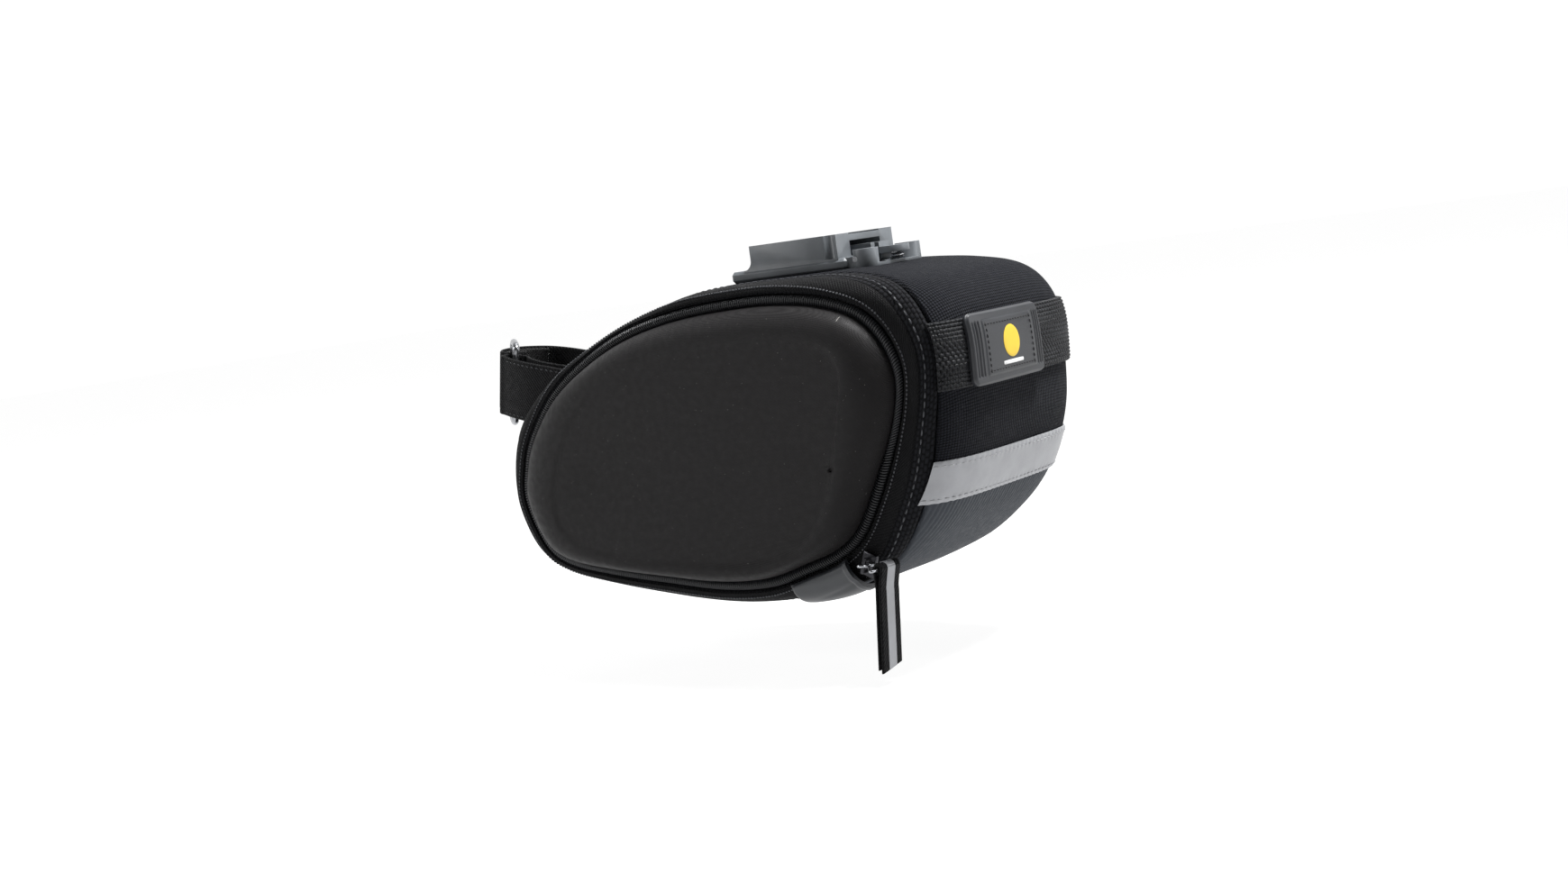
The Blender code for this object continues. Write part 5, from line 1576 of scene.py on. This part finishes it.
def offset_path(path: np.ndarray, distance: float) -> np.ndarray:
    """A plan path moved sideways."""
    steps = np.gradient(np.asarray(path, float), axis=0)
    steps /= np.linalg.norm(steps, axis=1)[:, None]
    return path + np.column_stack([-steps[:, 1], steps[:, 0]]) * distance


@dataclass
class Ribbon:
    """Flat webbing that stands on edge along a plan path in its own frame."""

    frame: Matrix
    width: float
    thickness: float
    slant: float = 0.0

    def build(self, name: str, path: np.ndarray, root: object = None,
              cut_slant: float = 0.0) -> bpy.types.Object:
        """Makes the strip.

        Args:
            name: its name.
            path: plan points of its middle.
            root: function of y and z that gives the least x, or None.
            cut_slant: how far its ends are cut on the skew.

        Returns:
            The strip.
        """
        steps = np.gradient(path, axis=0)
        steps /= np.linalg.norm(steps, axis=1)[:, None]
        normals = np.column_stack([-steps[:, 1], steps[:, 0]])
        section = flat_section(self.width, self.thickness)
        plan = path[:, None] + normals[:, None] * section[None, :, 1:]
        height = np.broadcast_to(section[None, :, 0], plan.shape[:2])
        near_end = np.clip(path[:, 0] / max(path[:, 0].max(), MM), 0, 1)[:, None] ** 3
        x = plan[..., 0] + cut_slant * height * near_end
        if root:
            least = np.array([[root(y, z) for y, z in zip(ys, zs)] for ys, zs in zip(plan[..., 1], height)])
            x = np.maximum(x, least + 0.0001 * np.arange(len(path))[:, None])
        local = np.stack([x, plan[..., 1], height + self.slant * x], axis=-1)
        turn = np.array(self.frame.to_3x3())
        return skin_tube(name, local @ turn.T + np.array(self.frame.translation))

    def line(self, path: np.ndarray, z: float, out: float) -> np.ndarray:
        """A line along the strip at one height, proud of its middle."""
        plan = offset_path(path, out)
        local = np.column_stack([plan, np.full(len(plan), z) + self.slant * plan[:, 0]])
        return local @ np.array(self.frame.to_3x3()).T + np.array(self.frame.translation)


# ---------------------------------------------------------------- seat post strap
@dataclass
class Strap:
    """Hook and loop strap for the seat post, its ring and its patch on the nose."""

    form: BagForm
    shop: Workshop
    wrap: Wrap
    place: tuple[float, float] = (0.98704, 0.26112)
    pitch: float = math.radians(12.0)
    width: float = 0.0250
    thickness: float = 0.0014
    tape_thickness: float = 0.0010
    gap: float = 0.0003
    ring_wire: float = 0.0015
    ring_height: float = 0.0330
    patch_half_width: float = 0.0230
    patch_thickness: float = 0.0016
    patch_ends: tuple[float, float] = (0.82721, 0.98272)
    ring_bars: tuple[tuple[float, float], tuple[float, float]] = ((0.0162, 0.0020), (0.0068, 0.0110))
    right: tuple = ((-0.052, -0.0156), (-0.040, -0.0160), (-0.024, -0.0172), (-0.012, -0.0205),
                    (0.002, -0.0215), (0.0135, -0.0180), (0.0205, -0.0080), (0.0212, 0.0020),
                    (0.0175, 0.0075), (0.0130, 0.0056), (0.0112, -0.0010))
    left: tuple = ((-0.052, 0.0135), (-0.040, 0.0135), (-0.024, 0.0135), (-0.012, 0.0138), (-0.002, 0.0112),
                   (0.004, 0.0074), (0.0100, 0.0078), (0.0122, 0.0116), (0.0098, 0.0150))
    tail: tuple = ((-0.0285, 0.0209), (-0.022, 0.0206), (-0.008, 0.0200), (0.002, 0.0180), (0.0085, 0.01585))

    def __post_init__(self) -> None:
        """Places the strap's frame and feels for the nose of the bag."""
        x, z = self.form.place(self.place)
        self.frame = Matrix.Rotation(-self.pitch, 4, "Y")
        self.frame.translation = Vector((x, 0.0, z))
        mesh = self.wrap.top.data
        from_mesh = bmesh.new()
        from_mesh.from_mesh(mesh)
        self.nose = BVHTree.FromBMesh(from_mesh)
        from_mesh.free()

    def root(self, y: float, z: float) -> float:
        """Least x, in the strap's frame, at which a strip starts just under the nose's cloth."""
        start = self.frame @ Vector((0.030, y, z))
        back = self.frame.to_3x3() @ Vector((-1, 0, 0))
        hit = self.nose.ray_cast(start, back, 0.2)
        return 0.030 - (hit[3] if hit[0] else 0.060) - 0.0015

    def patch(self) -> None:
        """Sewn patch on the sloping nose, with a crossed box of stitches."""
        form = self.form
        rows = np.radians(np.linspace(85, 0, 400))
        xs = form.middle[np.round(rows / (2 * math.pi) * form.steps).astype(int) % form.steps, 0]
        turn = [float(np.interp(form.back + share * form.length, xs, rows)) for share in self.patch_ends]
        angles = np.linspace(turn[0], turn[1], 60)
        share = np.linspace(-1, 1, 71)
        half = form.half_length(angles)[:, None]
        reach = half + share[None] * self.patch_half_width
        grid_turn = np.broadcast_to(angles[:, None], reach.shape)
        edge = np.minimum((1 - np.abs(share))[None] * self.patch_half_width,
                          np.minimum(angles - angles.min(), angles.max() - angles)[:, None] * 0.09)
        thick = self.patch_thickness * (0.5 + 0.5 * smoothstep(edge, 0, 0.0012))
        outer = form.lifted(grid_turn, reach, 0.0006 + thick)
        inner = form.lifted(grid_turn, reach, np.full(reach.shape, 0.0006))
        patch = slab("anchor_webbing", outer, inner)
        dress(patch, WEBBING, "webbing", Body.BAG, ["strap_anchor"])
        mid = (turn[0] + turn[1]) / 2
        span = (turn[0] - turn[1]) / 2 * 0.86
        corners = np.array([(-1, -1), (1, -1), (1, 1), (-1, 1), (-1, -1), (1, 1)])
        lines = []
        for a, b in zip(corners, corners[1:]):
            step = np.linspace(a, b, 30)
            along = mid + span * step[:, 0]
            across = form.half_length(along) + step[:, 1] * self.patch_half_width * 0.88
            lines.append(form.lifted(along, across, np.full(30, 0.0006 + self.patch_thickness)))
        row = self.shop.sew("anchor_stitches", lines, DARK_THREAD, 2.6, 0.74, 0.5)
        dress(row, DARK_THREAD, "webbing", Body.BAG)

    def bend(self, piece: bpy.types.Object, first: Body, second: Body, start: Sequence[float],
             end: Sequence[float]) -> None:
        """Bakes a piece's placement into its mesh."""
        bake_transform(piece)

    def webbing(self) -> None:
        """The two straps, the folded tail and the hook and loop faces."""
        strip = Ribbon(self.frame, self.width, self.thickness)
        right, left, tail = (smooth_line(path, 8) for path in (self.right, self.left, self.tail))
        for name, path, node in (("right_strap_webbing", right, "strap_right"),
                                 ("left_strap_webbing", left, "strap_left")):
            piece = dress(strip.build(name, path, self.root), WEBBING, "webbing", None, [node])
            self.bend(piece, Body.BAG, Body.STRAP, (-0.030, 0, 0), (-0.012, 0, 0))
        fold = np.vstack([tail, smooth_line([tail[-1], (0.0108, 0.01530), (0.0122, 0.0136)], 6)[1:]])
        piece = dress(strip.build("tail_webbing", fold), WEBBING, "webbing", None, ["strap_tail"])
        self.bend(piece, Body.STRAP, Body.TAIL, (0.0115, 0.0135, 0), (0.0085, 0.0165, 0))
        face = Ribbon(self.frame, self.width - 0.002, self.tape_thickness)
        reach = self.thickness / 2 + self.gap + self.tape_thickness / 2
        pile_path = offset_path(right[40:60], reach)
        dress(face.build("pile_face", pile_path), PILE, "hook_and_loop", Body.STRAP, ["loop_tape"])
        hook_path = offset_path(tail[14:], -reach)
        dress(face.build("hook_face", hook_path), PILE, "hook_and_loop", Body.TAIL, ["hook_tape"])
        lines = [strip.line(path, z, out) for path, out in ((tail[2:-4], self.thickness / 2),)
                 for z in (-self.width / 2 + 0.0016, self.width / 2 - 0.0016)]
        dress(self.shop.sew("tail_stitches", lines, THREAD, 2.6, 0.7, 0.4), THREAD, "webbing", Body.TAIL)

    def ring(self) -> None:
        """Rectangular wire ring with rounded ends."""
        (ax, ay), (bx, by) = self.ring_bars
        half, corner, nip = self.ring_height / 2, 0.0022, 0.0006
        bar, span = np.array([ax, ay, 0.0]), np.array([bx - ax, by - ay, 0.0])
        shape = [(0, -half + corner), (0, -half / 3), (0, half / 3), (0, half - corner), (0.08, half - nip),
                 (0.25, half), (0.75, half), (0.92, half - nip), (1, half - corner), (1, half / 3),
                 (1, -half / 3), (1, -half + corner), (0.92, -half + nip), (0.75, -half), (0.25, -half),
                 (0.08, -half + nip)]
        local = smooth_line([bar + span * share + (0, 0, z) for share, z in shape], 6, closed=True)
        path = local @ np.array(self.frame.to_3x3()).T + np.array(self.frame.translation)
        wire = round_bar("ring_wire", path, self.ring_wire, closed=True, sides=16)
        dress(wire, STEEL, "bright_steel", Body.RING, ["strap_ring"])

    def build(self) -> None:
        """Builds the patch, the webbing and the ring."""
        self.patch()
        self.webbing()
        self.ring()


# ---------------------------------------------------------------- mount
@dataclass
class Mount:
    """Slide-in mount, its release lever and the hard parts that keep their frame shape."""

    edge: float = 0.00028

    def build(self) -> None:
        """Refines the mouldings and finishes the pin, spring, plate and screws."""
        for node, name, body in (("slide_mount", "mount_moulding", Body.BAG),
                                 ("release_lever", "lever_moulding", Body.LEVER)):
            piece = copy_of_node(name, node)
            soften(piece, self.edge)
            dress(piece, PLASTIC, "mount_plastic", body, [node])
        keep = {"stiffener_plate": PLASTIC, "release_pin": STEEL, "release_spring": STEEL}
        keep.update({f"mount_screw_{i}": STEEL for i in range(1, 5)})
        for node, finish in keep.items():
            obj = frame["nodes"][node]
            for place in obj.material_slots:
                place.material = PALETTE(finish)
            LOG.info("%s keeps its shape", node)


# ---------------------------------------------------------------- stage
@dataclass
class Stage:
    """Camera, soft lights and a plain pale floor."""

    position: tuple[float, float, float] = (-0.464622, 0.694665, 0.000679)
    right: tuple[float, float, float] = (-0.81353171, -0.56476254, -0.13859807)
    up: tuple[float, float, float] = (-0.06108249, -0.15402865, 0.98617651)
    back: tuple[float, float, float] = (-0.57830362, 0.81075178, 0.09081009)
    lens: float = 49.803
    aim: tuple[float, float, float] = (0.03, 0.0, -0.07)
    lights: tuple = (("key", (1.25, 0.95, 0.75), 0.55, 12.0), ("side", (-1.25, -0.75, 0.30), 0.6, 6.0),
                     ("top", (-0.45, -0.25, 1.2), 0.35, 48.0))
    floor_half: float = 6.0
    floor_drop: float = 0.006
    floor_glow: float = 0.90
    dim: float = 0.05
    bright: float = 1.05

    def camera(self) -> None:
        """Sets up the camera."""
        data = bpy.data.cameras.new("camera")
        data.sensor_width = 36.0
        data.lens = self.lens
        data.clip_start, data.clip_end = 0.01, 100.0
        obj = bpy.data.objects.new("camera", data)
        turn = Matrix((self.right, self.up, self.back)).transposed().to_4x4()
        turn.translation = Vector(self.position)
        obj.matrix_world = turn
        bpy.context.scene.collection.objects.link(obj)
        bpy.context.scene.camera = obj

    def light(self, name: str, place: Sequence[float], size: float, power: float) -> None:
        """A square soft light that faces the bag."""
        data = bpy.data.lights.new(name, "AREA")
        data.size, data.energy = size, power
        obj = bpy.data.objects.new(name, data)
        aim = Vector(self.aim) - Vector(place)
        obj.matrix_world = Matrix.Translation(place) @ aim.to_track_quat("-Z", "Y").to_matrix().to_4x4()
        bpy.context.scene.collection.objects.link(obj)

    def studio(self) -> None:
        """A room that is white behind the bag and dim in front of it."""
        world = bpy.data.worlds.new("studio")
        world.use_nodes = True
        tree = world.node_tree
        facing = tree.nodes.new("ShaderNodeVectorMath")
        facing.operation = "DOT_PRODUCT"
        facing.inputs[1].default_value = tuple(-part for part in self.back)
        place = tree.nodes.new("ShaderNodeTexCoord")
        level = tree.nodes.new("ShaderNodeMapRange")
        level.interpolation_type = "SMOOTHSTEP"
        for socket, value in zip(list(level.inputs)[1:5], (0.2, 0.8, self.dim, self.bright)):
            socket.default_value = value
        tree.links.new(place.outputs["Generated"], facing.inputs[0])
        tree.links.new(facing.outputs["Value"], level.inputs[0])
        seen = tree.nodes.new("ShaderNodeMath")
        seen.operation = "MAXIMUM"
        tree.links.new(level.outputs[0], seen.inputs[0])
        tree.links.new(tree.nodes.new("ShaderNodeLightPath").outputs["Is Camera Ray"], seen.inputs[1])
        tree.links.new(seen.outputs[0], tree.nodes["Background"].inputs["Strength"])
        tree.nodes["Background"].inputs["Color"].default_value = (1.0, 1.0, 1.0, 1.0)
        bpy.context.scene.world = world
        bpy.context.scene.view_settings.view_transform = "Standard"

    def build(self) -> None:
        """Builds the camera, world, lights and floor."""
        self.camera()
        self.studio()
        for name, place, size, power in self.lights:
            self.light(name, place, size, power)
        low = CAD_BOX[0][2] - self.floor_drop
        half = self.floor_half
        verts = [(x * half, y * half, low) for x, y in ((-1, -1), (1, -1), (1, 1), (-1, 1))]
        floor = mesh_object("floor", np.array(verts), [[0, 1, 2, 3]])
        paper = Shade("paper", 0.9)
        coords = paper.millimetres(False)
        tooth = paper.ramp(paper.noise(coords, 0.02), 0.3, 0.7)
        paper.feed(paper.shader.inputs["Base Color"],
                   paper.blend(tooth, (0.15, 0.15, 0.15, 1.0), (0.18, 0.18, 0.18, 1.0)))
        paper.shader.inputs["Emission Color"].default_value = (1.0, 1.0, 1.0, 1.0)
        paper.shader.inputs["Emission Strength"].default_value = self.floor_glow
        floor.data.materials.append(paper.material)


def main() -> None:
    """Builds the stage, then each part of the bag."""
    logging.basicConfig(level=logging.INFO, format="%(message)s")
    Stage().build()
    form, shop = BagForm(), Workshop()
    wrap = Wrap(form, shop)
    wrap.build()
    MouldedSide(form, shop, 1, Body.DOOR, "door_shell", "door_zip_tape").build()
    MouldedSide(form, shop, -1, Body.BAG, "right_shell", "right_piping").build()
    ZipLine(form, shop).build()
    DoorPocket(form, shop).build()
    RearTrim(form, shop).build()
    ZipHardware(form, shop).build()
    Strap(form, shop, wrap).build()
    Mount().build()


if __name__ == "__main__":
    main()
